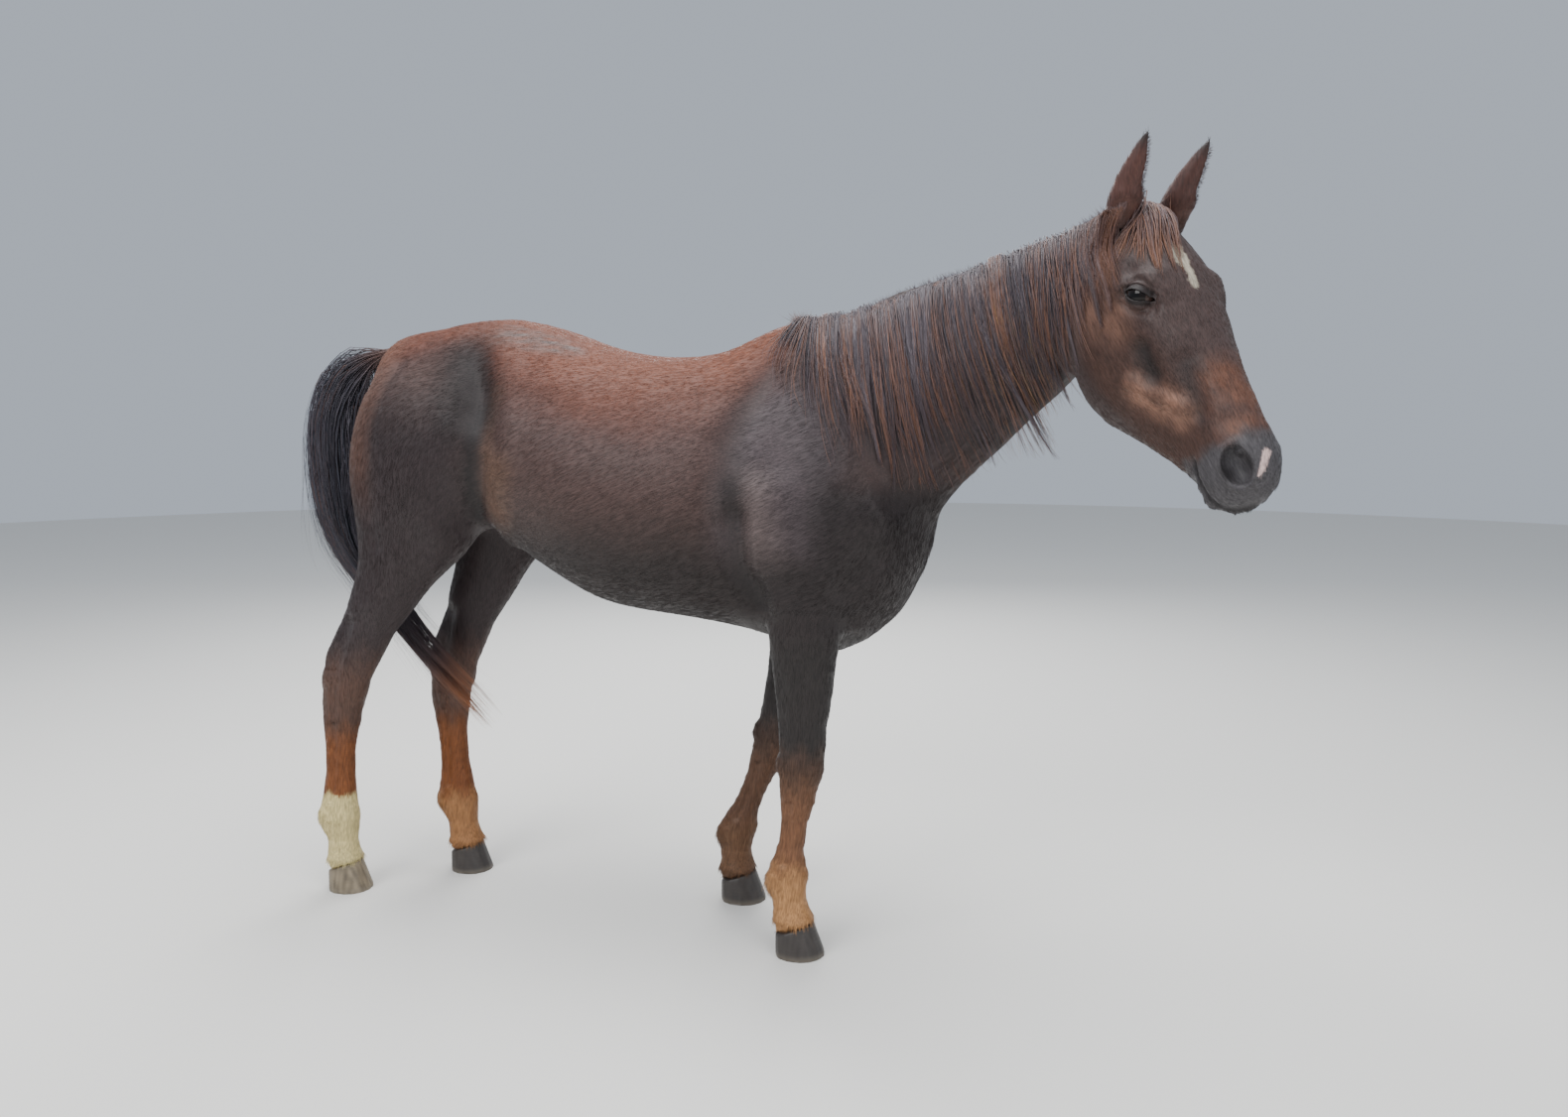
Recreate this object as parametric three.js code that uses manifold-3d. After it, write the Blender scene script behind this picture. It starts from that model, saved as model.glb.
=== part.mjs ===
// A standing horse at life size: a long-backed chestnut riding horse with its head turned to its right.
// Millimetres, +Z up, +X towards the chest, +Y towards the horse's left. The floor is Z = 0.
// Flesh is modelled as one closed body and parted by thin cuts into head, neck, trunk and legs.

import * as THREE from 'three';
import { mergeVertices } from 'three/addons/utils/BufferGeometryUtils.js';
import Module from 'manifold-3d';

const wasm = await Module();
wasm.setup();

// Driving dimensions

const GAP = 0.3;                // clearance of every thin cut
const HAIR_GAP = 1.2;           // clearance between the flesh and the hair and ears set on it
const WITHERS = 1550;           // floor to the top of the withers
const LOIN = 1456;              // floor to the lowest point of the hollow back
const CROUP = 1566;             // floor to the top of the croup
const BELLY = 805;              // floor to the underside of the barrel
const BARREL_HALF = 312;        // half the width of the barrel
const HIP_HALF = 262;           // half the width over the hips
const SHOULDER_HALF = 232;      // half the width over the shoulders
const BREAST = 966;             // foremost point of the breast

const HEAD_LENGTH = 634;        // poll to lips
const CHEEK_HALF = 110;         // half the width over the eyes and cheeks
const JAW_DEPTH = 332;          // forehead line to the deepest point of the jaw
const MUZZLE_HALF = 60;         // half the width over the nostrils
const EAR_LENGTH = 160;         // from its seat in the head to the tip
const EYE_RADIUS = 24;
const SOLE_LENGTH = 126;        // a fore hoof on the floor, toe to heel
const SOLE_WIDTH = 118;
const HOOF_HEIGHT = 84;         // coronet above the floor at the toe

const NECK_START = 700;         // where the neck begins to bend out of the body's mid plane
const NECK_END = 1516;          // arc length at the poll, along the bent mid plane
const NECK_TURN = THREE.MathUtils.degToRad(46);
const HEAD_TURN = THREE.MathUtils.degToRad(46);
const HEAD_PITCH = THREE.MathUtils.degToRad(53);
const POLL_HEIGHT = 1713;

// Colours: coat, hair, horn and eye

const COAT = { color: 0x3f2118, roughness: 0.55, metalness: 0 };
const SHIN = { color: 0x5f2f1b, roughness: 0.6, metalness: 0 };
const SOCK = { color: 0xc9bda9, roughness: 0.7, metalness: 0 };
const HAIR = { color: 0x2b1a17, roughness: 0.6, metalness: 0 };
const HORN = { color: 0x3a3129, roughness: 0.5, metalness: 0 };
const EYE = { color: 0x120b09, roughness: 0.08, metalness: 0 };

// Interpolation of a table: the first column is the key, and the curve never overshoots its rows

function slopeAt(rows, i, column) {
  if (i === 0 || i === rows.length - 1) {
    return 0;
  }
  const before = (rows[i][column] - rows[i - 1][column]) / (rows[i][0] - rows[i - 1][0]);
  const after = (rows[i + 1][column] - rows[i][column]) / (rows[i + 1][0] - rows[i][0]);
  if (before * after <= 0) {
    return 0;
  }
  return 2 * before * after / (before + after);
}

function between(rows, key) {
  let i = 0;
  while (i < rows.length - 2 && key > rows[i + 1][0]) {
    i += 1;
  }
  const span = rows[i + 1][0] - rows[i][0];
  const t = THREE.MathUtils.clamp((key - rows[i][0]) / span, 0, 1);
  const startWeight = 2 * t ** 3 - 3 * t ** 2 + 1;
  const endWeight = 1 - startWeight;
  const startSlope = (t ** 3 - 2 * t ** 2 + t) * span;
  const endSlope = (t ** 3 - t ** 2) * span;
  return rows[i].map((value, column) => value * startWeight + rows[i + 1][column] * endWeight
    + slopeAt(rows, i, column) * startSlope + slopeAt(rows, i + 1, column) * endSlope);
}

function places(rows) {
  return rows.map((row) => new THREE.Vector3(...row));
}

// Solids

function solidOf(geometry) {
  const bare = geometry.clone();
  bare.deleteAttribute('normal');
  bare.deleteAttribute('uv');
  const merged = mergeVertices(bare, 1e-4);
  return new wasm.Manifold(new wasm.Mesh({
    numProp: 3,
    vertProperties: new Float32Array(merged.attributes.position.array),
    triVerts: new Uint32Array(merged.index.array),
  }));
}

function meshOf(name, solid, finish) {
  const cut = solid.getMesh();
  const geometry = new THREE.BufferGeometry();
  geometry.setAttribute('position', new THREE.BufferAttribute(new Float32Array(cut.vertProperties), 3));
  geometry.setIndex(new THREE.BufferAttribute(new Uint32Array(cut.triVerts), 1));
  geometry.computeVertexNormals();
  const mesh = new THREE.Mesh(geometry, new THREE.MeshStandardMaterial(finish));
  mesh.name = name;
  return mesh;
}

// A body swept through cross-sections. A section has a centre, a unit vector towards its crown and one
// towards its side, its reach to the crown, to the keel and to each side, and how square each half is
// (2 is an ellipse, less is peaked, more is boxy). A grown body stands off the first one all round.

function sweep(sectionAt, around, along, grow = 0) {
  const geometry = new THREE.CylinderGeometry(1, 1, 1, around, along);
  const position = geometry.attributes.position;
  const point = new THREE.Vector3();
  for (let i = 0; i < position.count; i += 1) {
    point.fromBufferAttribute(position, i);
    const radius = Math.hypot(point.x, point.z);
    const angle = Math.atan2(point.z, point.x);
    const t = THREE.MathUtils.clamp(0.5 - point.y, 0, 1);
    const section = sectionAt(t);
    const upper = Math.sin(angle) >= 0;
    const power = 2 / (upper ? section.crownPower : section.keelPower);
    const sideways = Math.sign(Math.cos(angle)) * Math.abs(Math.cos(angle)) ** power;
    const upwards = Math.sign(Math.sin(angle)) * Math.abs(Math.sin(angle)) ** power;
    const reach = (upper ? section.crown : section.keel) + grow;
    point.copy(section.centre)
      .addScaledVector(section.side, radius * sideways * (section.half + grow))
      .addScaledVector(section.up, radius * upwards * reach);
    if (grow > 0 && (t === 0 || t === 1)) {
      point.add(section.centre.clone().sub(sectionAt(Math.abs(t - 0.01)).centre).setLength(grow));
    }
    position.setXYZ(i, point.x, point.y, point.z);
  }
  return solidOf(geometry);
}

function box(width, depth, height, placeIt) {
  const geometry = new THREE.BoxGeometry(width, depth, height);
  placeIt(geometry);
  return solidOf(geometry);
}

// Trunk: x, top, underside, half width, level of the widest place, squareness of back and of belly

const TRUNK_ROWS = [
  [-540, 1452, 1210, 60, 1330, 2.0, 2.0],
  [-516, 1500, 1130, 128, 1310, 2.0, 2.0],
  [-440, 1530, 1050, 196, 1285, 1.85, 2.0],
  [-320, CROUP - 23, 1015, 238, 1260, 1.75, 2.0],
  [-190, CROUP, 1006, HIP_HALF - 8, 1240, 1.8, 2.0],
  [-60, 1550, 930, HIP_HALF + 6, 1200, 1.9, 2.1],
  [50, 1518, 866, 288, 1160, 1.9, 2.1],
  [170, 1476, BELLY + 12, BARREL_HALF - 3, 1120, 1.9, 2.1],
  [320, LOIN, BELLY - 4, BARREL_HALF, 1105, 1.85, 2.1],
  [440, LOIN + 10, BELLY - 18, BARREL_HALF - 12, 1105, 1.7, 2.1],
  [540, WITHERS - 32, BELLY - 38, 272, 1110, 1.5, 2.1],
  [640, WITHERS, BELLY - 56, 246, 1110, 1.42, 2.1],
  [740, WITHERS - 12, BELLY - 76, SHOULDER_HALF, 1100, 1.6, 2.1],
  [830, WITHERS - 110, BELLY - 34, SHOULDER_HALF - 14, 1070, 2.0, 2.1],
  [900, WITHERS - 270, BELLY + 36, 196, 1055, 2.2, 2.1],
  [944, WITHERS - 400, BELLY + 116, 156, 1040, 2.2, 2.1],
  [BREAST, WITHERS - 470, BELLY + 180, 60, 1030, 2.0, 2.0],
];

function trunkSection(t) {
  const start = TRUNK_ROWS[0][0];
  const end = TRUNK_ROWS[TRUNK_ROWS.length - 1][0];
  const x = THREE.MathUtils.lerp(start, end, t);
  const [, top, bottom, half, level, crownPower, keelPower] = between(TRUNK_ROWS, x);
  return {
    centre: new THREE.Vector3(x, 0, level),
    up: new THREE.Vector3(0, 0, 1),
    side: new THREE.Vector3(0, 1, 0),
    crown: top - level,
    keel: level - bottom,
    half,
    crownPower,
    keelPower,
  };
}

// The mid plane of the neck bends to the right. Arc length along it is turned into a place in plan.

function neckHeading(arc) {
  const t = THREE.MathUtils.clamp((arc - NECK_START) / (NECK_END - NECK_START), 0, 1);
  return -NECK_TURN * t * t * (3 - 2 * t);
}

function neckPlace(arc, height) {
  const place = new THREE.Vector3(Math.min(arc, NECK_START), 0, height);
  const step = 10;
  for (let at = NECK_START; at < arc; at += step) {
    const length = Math.min(step, arc - at);
    const heading = neckHeading(at + length / 2);
    place.x += length * Math.cos(heading);
    place.y += length * Math.sin(heading);
  }
  return place;
}

// Neck: key, crest (arc, height), underside (arc, height), half width, squareness of crest and throat

const NECK_ROWS = [
  [0, 560, 1500, 830, 900, 200, 1.5, 2.0],
  [1, 720, WITHERS - 4, 948, 1015, 165, 1.5, 2.0],
  [2, 880, 1612, 1040, 1140, 126, 1.5, 2.0],
  [3, 1040, 1650, 1148, 1228, 104, 1.6, 2.0],
  [4, 1200, 1684, 1262, 1325, 90, 1.7, 2.0],
  [5, 1360, 1708, 1365, 1425, 80, 1.9, 2.0],
  [6, 1466, 1714, 1450, 1530, 66, 2.0, 2.0],
];

function neckSection(t) {
  const [, crestArc, crestZ, keelArc, keelZ, half, crownPower, keelPower] = between(NECK_ROWS, 6 * t);
  const crest = neckPlace(crestArc, crestZ);
  const keel = neckPlace(keelArc, keelZ);
  const middleArc = (crestArc + keelArc) / 2;
  const heading = neckHeading(middleArc);
  const depth = crest.distanceTo(keel);
  const widest = 0.42;
  return {
    centre: keel.clone().lerp(crest, widest),
    up: crest.clone().sub(keel).normalize(),
    side: new THREE.Vector3(-Math.sin(heading), Math.cos(heading), 0),
    crown: depth * (1 - widest),
    keel: depth * widest,
    half,
    crownPower,
    keelPower,
  };
}

// Head, in its own frame: X from the poll towards the lips, Z out of the forehead, Y to the left.
// Distance from the poll, forehead line, jaw line, half width, level of the widest place, squareness

const HEAD_ROWS = [
  [-40, -26, -160, 58, -80, 2.0, 2.0],
  [0, 6, -222, 72, -75, 2.0, 2.1],
  [60, 15, -282, 88, -80, 2.2, 2.2],
  [120, 19, -316, 104, -70, 2.4, 2.3],
  [180, 17, -JAW_DEPTH + 2, CHEEK_HALF - 2, -66, 2.5, 2.4],
  [240, 12, -JAW_DEPTH, CHEEK_HALF - 8, -72, 2.5, 2.5],
  [300, 7, -308, 92, -84, 2.4, 2.5],
  [360, 3, -272, 76, -90, 2.3, 2.4],
  [420, -1, -240, 64, -90, 2.2, 2.3],
  [480, -4, -208, 58, -86, 2.2, 2.3],
  [520, -8, -190, 58, -80, 2.3, 2.6],
  [555, -13, -185, MUZZLE_HALF, -74, 2.4, 3.0],
  [580, -24, -183, MUZZLE_HALF - 7, -76, 2.4, 3.0],
  [602, -38, -173, 42, -86, 2.3, 2.6],
  [618, -50, -157, 32, -96, 2.2, 2.3],
  [629, -62, -139, 22, -100, 2.1, 2.1],
  [HEAD_LENGTH, -80, -118, 8, -100, 2.0, 2.0],
];

const MUZZLE_CROWDING = 1.4;    // sections stand closer together toward the lips

function headSection(t) {
  const start = HEAD_ROWS[0][0];
  const even = HEAD_LENGTH - (HEAD_LENGTH - start) * (1 - t) ** MUZZLE_CROWDING;
  const [, top, bottom, half, level, crownPower, keelPower] = between(HEAD_ROWS, even);
  return {
    centre: new THREE.Vector3(even, 0, level),
    up: new THREE.Vector3(0, 0, 1),
    side: new THREE.Vector3(0, 1, 0),
    crown: top - level,
    keel: level - bottom,
    half,
    crownPower,
    keelPower,
  };
}

const poll = neckPlace(NECK_END, POLL_HEIGHT);
const headFrame = new THREE.Matrix4().makeRotationZ(-HEAD_TURN)
  .multiply(new THREE.Matrix4().makeRotationY(HEAD_PITCH))
  .setPosition(poll);

function onHead(solid) {
  return solid.transform(headFrame.elements);
}

// Eyes, the brows over them and the nostrils

const EYE_PLACE = { along: 195, across: 92, lift: -50 };
const BROW = { along: 178, across: 80, lift: -23, size: [52, 25, 20] };
const NOSTRIL = { along: 567, across: 58, lift: -58, size: [26, 14, 17] };

// A small ellipsoid on the right and on the left of the head

function pairOnHead({ along, across, lift, size }) {
  const [left, right] = [LEFT, RIGHT].map((hand) => {
    const geometry = new THREE.SphereGeometry(1, 10, 6);
    geometry.scale(...size);
    geometry.translate(along, across * hand, lift);
    return onHead(solidOf(geometry));
  });
  return left.add(right);
}

function eyeSolid(hand, growth) {
  const geometry = new THREE.SphereGeometry(EYE_RADIUS + growth, 12, 8);
  geometry.translate(EYE_PLACE.along, EYE_PLACE.across * hand, EYE_PLACE.lift);
  return onHead(solidOf(geometry));
}

// Ears: pricked, each a tapering shell with its opening scooped out of the front

const EAR_BASE = { along: 11, across: 65, lift: -12 };
const EAR_FORWARD = THREE.MathUtils.degToRad(32);      // ahead of plumb
const EAR_OUTWARD = THREE.MathUtils.degToRad(5);
const EAR_ROWS = [
  [0, 30, 31],
  [0.15, 33, 32],
  [0.35, 31, 29],
  [0.55, 25, 23],
  [0.75, 17, 16],
  [0.9, 9, 8],
  [1, 2.5, 2.5],
];

function earFrame(hand) {
  const lean = new THREE.Matrix4().makeRotationX(-EAR_OUTWARD * hand);
  const pitch = new THREE.Matrix4().makeRotationY(EAR_FORWARD - HEAD_PITCH);
  return pitch.multiply(lean).setPosition(EAR_BASE.along, EAR_BASE.across * hand, EAR_BASE.lift);
}

function earSolid(hand, growth) {
  const shape = (t) => {
    const [, wide, deep] = between(EAR_ROWS, t);
    return {
      centre: new THREE.Vector3(0, 0, EAR_LENGTH * t),
      up: new THREE.Vector3(1, 0, 0),
      side: new THREE.Vector3(0, -1, 0),
      crown: deep,
      keel: deep,
      half: wide,
      crownPower: 2,
      keelPower: 2,
    };
  };
  return sweep(shape, 10, 7, growth).transform(earFrame(hand).elements);
}

// The opening of the ear is a narrower copy of the shell, set ahead of it

function earHollow(hand) {
  const shape = (t) => {
    const [, wide, deep] = between(EAR_ROWS, 0.18 + 0.74 * t);
    return {
      centre: new THREE.Vector3(deep * 0.62, 0, EAR_LENGTH * (0.3 + 0.62 * t)),
      up: new THREE.Vector3(1, 0, 0),
      side: new THREE.Vector3(0, -1, 0),
      crown: deep,
      keel: deep,
      half: wide * 0.66,
      crownPower: 2,
      keelPower: 2,
    };
  };
  return sweep(shape, 8, 5).transform(earFrame(hand).elements);
}

// Legs: a chain of joints, with the reach of each section to front, back and side of the chain.
// Fore keys: 0 shoulder blade, 1 upper arm, 2 elbow, 3 knee, 4 fetlock, 5 coronet, 6 inside the hoof.
// Hind keys: 0 croup, 1 hip, 2 stifle, 3 hock, 4 fetlock, 5 coronet, 6 inside the hoof.

const FORELEG_ROWS = [
  [0, 20, 20, 20],
  [0.3, 70, 70, 52],
  [0.7, 112, 108, 80],
  [1, 122, 118, 92],
  [1.6, 114, 116, 92],
  [2, 98, 104, 80],
  [2.3, 84, 86, 62],
  [2.6, 68, 66, 50],
  [2.85, 58, 57, 43],
  [3, 56, 55, 44],
  [3.12, 48, 50, 40],
  [3.3, 34, 38, 29],
  [3.6, 33, 37, 27],
  [3.85, 40, 46, 33],
  [4, 45, 58, 38],
  [4.3, 44, 62, 38],
  [4.6, 45, 60, 39],
  [5, 50, 48, 45],
  [6, 50, 50, 45],
];

const HINDLEG_ROWS = [
  [0, 20, 20, 20],
  [0.4, 84, 104, 70],
  [1, 140, 186, 112],
  [1.6, 190, 222, 122],
  [2, 194, 214, 110],
  [2.25, 128, 146, 88],
  [2.5, 82, 88, 66],
  [2.75, 67, 74, 50],
  [2.9, 64, 92, 44],
  [3.04, 60, 82, 42],
  [3.25, 50, 52, 34],
  [3.5, 44, 45, 29],
  [3.8, 46, 52, 31],
  [4, 52, 70, 39],
  [4.3, 50, 68, 38],
  [4.6, 48, 56, 39],
  [5, 50, 48, 44],
  [6, 50, 50, 44],
];

function legSection(joints, rows) {
  const chain = new THREE.CatmullRomCurve3(joints, false, 'centripetal');
  const last = joints.length - 1;
  return (t) => {
    const tangent = chain.getTangent(t);
    const side = new THREE.Vector3(0, 1, 0);
    const up = new THREE.Vector3().crossVectors(tangent, side).normalize();
    const [, front, back, half] = between(rows, last * t);
    return {
      centre: chain.getPoint(t),
      up,
      side: new THREE.Vector3().crossVectors(up, tangent).normalize(),
      crown: front,
      keel: back,
      half,
      crownPower: 2,
      keelPower: 2,
    };
  };
}

// Each leg: its joints from the body down, and the size of its hoof

const RIGHT = -1;
const LEFT = 1;

const SHOULDER = { x: 655, y: 118, z: 1400 };
const CROUP_TOP = { x: -300, y: 112, z: 1446 };

function limb(kind, hand, chain, hoofScale) {
  const top = kind === 'fore' ? SHOULDER : CROUP_TOP;
  const joints = [[top.x, top.y * hand, top.z], ...chain.map(([x, y, z]) => [x, y * hand, z])];
  const [x, y] = chain[chain.length - 1];
  joints.push([x + 8, y * hand, 20]);
  return {
    hand,
    hoofScale,
    joints: places(joints),
    coronet: new THREE.Vector3(x, y * hand, 0),
    rows: kind === 'fore' ? FORELEG_ROWS : HINDLEG_ROWS,
    cuts: kind === 'fore' ? { body: 850, knee: 405, fetlock: 232 } : { body: 1000, knee: 500, fetlock: 255 },
  };
}

const LEGS = {
  fore_right: limb('fore', RIGHT, [[738, 152, 1080], [692, 150, 885], [674, 138, 445], [645, 132, 195],
    [656, 132, 88]], 1),
  fore_left: limb('fore', LEFT, [[716, 152, 1080], [630, 150, 885], [518, 143, 445], [424, 138, 195],
    [418, 138, 88]], 1),
  hind_right: limb('hind', RIGHT, [[-325, 132, 1330], [-357, 138, 1060], [-618, 118, 565], [-654, 115, 215],
    [-650, 115, 88]], 0.96),
  hind_left: limb('hind', LEFT, [[-310, 132, 1330], [-262, 138, 1060], [-434, 114, 555], [-422, 108, 215],
    [-404, 108, 88]], 0.96),
};

// Hooves: a horn block with a sloping toe wall, an upright heel and a flat sole

const SOLE_SLIDE = 16;          // the sole sits this far in front of the coronet's middle
const HEEL_DROP = 34;           // the coronet slopes down this much from toe to heel

function hoofSolid(leg) {
  const shape = (t) => {
    const size = THREE.MathUtils.lerp(0.76, 1, t);
    const length = SOLE_LENGTH / 2 * size * leg.hoofScale;
    return {
      centre: new THREE.Vector3(leg.coronet.x + SOLE_SLIDE * t, leg.coronet.y, HOOF_HEIGHT * (1 - t)),
      up: new THREE.Vector3(1, 0, 0),
      side: new THREE.Vector3(0, 1, 0),
      crown: length,
      keel: length * 0.92,
      half: SOLE_WIDTH / 2 * size * leg.hoofScale,
      crownPower: 2,
      keelPower: 2.6,
    };
  };
  return sweep(shape, 14, 2);
}

// The coronet is a plane that falls towards the heel. Horn lies below it and the pastern above it.

function belowCoronet(leg, drop) {
  const tall = 300;
  return box(400, 260, tall, (geometry) => {
    geometry.translate(0, 0, -tall / 2);
    geometry.rotateY(-Math.atan2(HEEL_DROP, SOLE_LENGTH * 0.8));
    geometry.translate(leg.coronet.x, leg.coronet.y, HOOF_HEIGHT - HEEL_DROP / 2 - drop);
  });
}

// Tail: the dock, then a rope of long hair that hangs behind the thighs and is swept forward between
// the hocks. Key, place, reach to back, reach to front, half width

const TAIL_PATH = places([
  [-500, 0, 1478],
  [-590, 0, 1462],
  [-668, 0, 1392],
  [-694, 0, 1270],
  [-688, 0, 1110],
  [-664, 0, 975],
  [-600, -4, 862],
  [-505, -10, 742],
  [-400, -16, 634],
  [-300, -20, 545],
  [-216, -24, 470],
]);

const TAIL_ROWS = [
  [0, 34, 34, 34],
  [0.1, 48, 44, 44],
  [0.22, 74, 62, 58],
  [0.34, 92, 84, 70],
  [0.46, 98, 88, 72],
  [0.57, 84, 74, 60],
  [0.68, 58, 56, 40],
  [0.78, 42, 46, 28],
  [0.88, 32, 34, 20],
  [0.95, 20, 20, 12],
  [1, 4, 4, 4],
];

const TAIL_ROUND = 12;
const TAIL_STEPS = 18;
const TAIL_CUTS = { dock: 1380, skirt: 900 };

function tailSection(t) {
  const chain = new THREE.CatmullRomCurve3(TAIL_PATH, false, 'centripetal');
  const tangent = chain.getTangent(t);
  const up = new THREE.Vector3().crossVectors(tangent, new THREE.Vector3(0, 1, 0)).normalize();
  const [, back, front, half] = between(TAIL_ROWS, t);
  return {
    centre: chain.getPoint(t),
    up,
    side: new THREE.Vector3().crossVectors(up, tangent).normalize(),
    crown: front,
    keel: back,
    half,
    crownPower: 2,
    keelPower: 2,
  };
}

// Mane: a curtain of hair from the crest over the right side of the neck. It lies on the neck down to
// the widest place and hangs plumb below that. Key of the neck, fall in degrees round the neck, and how
// far its tips hang below the throat

const MANE_ROWS = [
  [0.75, 34, 0],
  [0.95, 70, 0],
  [1.4, 112, 0],
  [2, 146, 0],
  [3, 160, 0],
  [3.6, 170, 14],
  [4.2, 172, 48],
  [4.8, 162, 56],
  [5.4, 142, 20],
  [5.8, 124, 0],
];
const MANE_THICK = 24;
const MANE_EDGE = 6;

function maneSolid() {
  const geometry = new THREE.BoxGeometry(1, 1, 1, 12, 6, 1);
  const position = geometry.attributes.position;
  const point = new THREE.Vector3();
  const start = MANE_ROWS[0][0];
  const end = MANE_ROWS[MANE_ROWS.length - 1][0];
  for (let i = 0; i < position.count; i += 1) {
    point.fromBufferAttribute(position, i);
    const key = THREE.MathUtils.lerp(start, end, point.x + 0.5);
    const down = 0.5 - point.y;
    const outside = point.z > 0;
    const section = neckSection(key / 6);
    const [, fall, hang] = between(MANE_ROWS, key);
    const angle = THREE.MathUtils.degToRad(90 - 14 + (fall + 14) * down);
    const proud = outside ? THREE.MathUtils.lerp(MANE_THICK, MANE_EDGE, down ** 2) : -5;
    const upper = Math.sin(angle) >= 0;
    const power = 2 / (upper ? section.crownPower : section.keelPower);
    const turn = Math.abs(Math.cos(angle)) ** power;
    const sideways = Math.sign(Math.cos(angle)) * (upper ? turn : Math.max(turn, 0.9));
    const upwards = Math.sign(Math.sin(angle)) * Math.abs(Math.sin(angle)) ** power;
    point.copy(section.centre)
      .addScaledVector(section.side, sideways * (section.half + proud))
      .addScaledVector(section.up, upwards * ((upper ? section.crown : section.keel) + (upper ? proud : 0)));
    position.setXYZ(i, point.x, point.y, point.z - hang * down ** 3);
  }
  return solidOf(geometry);
}

// Forelock: a tongue of hair from the poll, between the ears and down the forehead

const FORELOCK = { from: -20, to: 158, half: 44, thick: 15, fall: -30 };

function forelockSolid() {
  const geometry = new THREE.BoxGeometry(1, 1, 1, 6, 4, 1);
  const position = geometry.attributes.position;
  for (let i = 0; i < position.count; i += 1) {
    const t = position.getX(i) + 0.5;
    const across = position.getY(i) * 2;
    const along = THREE.MathUtils.lerp(FORELOCK.from, FORELOCK.to, t);
    const half = FORELOCK.half * (1 - 0.6 * t ** 2);
    const thick = FORELOCK.thick * (1 - 0.5 * t) * (1 - 0.35 * across ** 2);
    const aside = FORELOCK.fall * t + across * half;
    const [, top, , width, level, power] = between(HEAD_ROWS, along);
    const brow = level + (top - level) * (1 - Math.abs(aside / width) ** power) ** (1 / power);
    position.setXYZ(i, along, aside, brow + (position.getZ(i) > 0 ? thick : -14));
  }
  return onHead(solidOf(geometry));
}

// Assembly of the flesh, then its thin cuts

const TRUNK_STEPS = 20;
const ROUND = 20;
const LEG_ROUND = 12;
const LEG_STEPS = 23;
const NECK_STEPS = 12;
const HEAD_STEPS = 20;

function legSolid(leg, growth) {
  return sweep(legSection(leg.joints, leg.rows), LEG_ROUND, LEG_STEPS, growth);
}

// All the flesh as one body. Grown by a clearance, it is the tool that hair and tail are cut with.

function fleshSolid(growth) {
  let body = sweep(trunkSection, ROUND, TRUNK_STEPS, growth)
    .add(sweep(neckSection, ROUND, NECK_STEPS, growth))
    .add(onHead(sweep(headSection, ROUND, HEAD_STEPS, growth)))
    .add(pairOnHead(BROW))
    .subtract(pairOnHead(NOSTRIL));
  for (const leg of Object.values(LEGS)) {
    body = body.add(legSolid(leg, growth).subtract(belowCoronet(leg, 0)));
  }
  return body;
}

const flesh = fleshSolid(0);
const room = fleshSolid(HAIR_GAP);

// Neck from trunk: a plane down the front of the shoulder. Head from neck: a plane behind the ears and jaw.

const SHOULDER_TOP = new THREE.Vector3(700, 0, 1600);
const SHOULDER_FOOT = new THREE.Vector3(1000, 0, 990);
const SHOULDER_LEAN = Math.atan2(SHOULDER_FOOT.x - SHOULDER_TOP.x, SHOULDER_TOP.z - SHOULDER_FOOT.z);

function aheadOfShoulder(growth) {
  const long = 1400;
  const tall = 1800;
  return box(long + 2 * growth, 1400, tall + 2 * growth, (geometry) => {
    geometry.translate(long / 2, 0, tall / 2 - 500);
    geometry.rotateY(-SHOULDER_LEAN);
    geometry.translate(SHOULDER_FOOT.x, 0, SHOULDER_FOOT.z);
  });
}

function headRegion(growth) {
  const long = 700;
  const tall = 620;
  return onHead(box(long + 2 * growth, 400 + 2 * growth, tall + 2 * growth, (geometry) => {
    geometry.translate(long / 2, 0, -tall / 2 + 330);
    geometry.rotateY(Math.atan(0.28));
    geometry.translate(4, 0, 0);
  }));
}

// A leg is parted from the body by a level cut. Below the belly the region widens to take the whole limb.
// Reach behind and ahead of the elbow or stifle at the cut, then below the belly, and the belly's level

const LEG_REACH = {
  fore: { cut: [-95, 175], limb: [-400, 300], belly: 745 },
  hind: { cut: [-270, 130], limb: [-500, 205], belly: 925 },
};
const BETWEEN_LEGS = 42;

function sideBox(rear, front, inner, outer, bottom, top, hand) {
  return box(front - rear, outer - inner, top - bottom, (geometry) => {
    geometry.translate((front + rear) / 2, hand * (outer + inner) / 2, (top + bottom) / 2);
  });
}

function legRegion(name, leg, growth) {
  const { cut, limb, belly } = LEG_REACH[name.split('_')[0]];
  const joint = leg.joints[2].x;
  const outer = 420;
  const below = sideBox(joint + limb[0], joint + limb[1], GAP, outer, -50, belly, leg.hand);
  return below.add(sideBox(joint + cut[0] - growth, joint + cut[1] + growth, BETWEEN_LEGS - growth, outer,
    belly - 20, leg.cuts.body + growth, leg.hand));
}

function layer(top, bottom) {
  return box(3000, 1200, top - bottom, (geometry) => geometry.translate(0, 0, (top + bottom) / 2));
}

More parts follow.
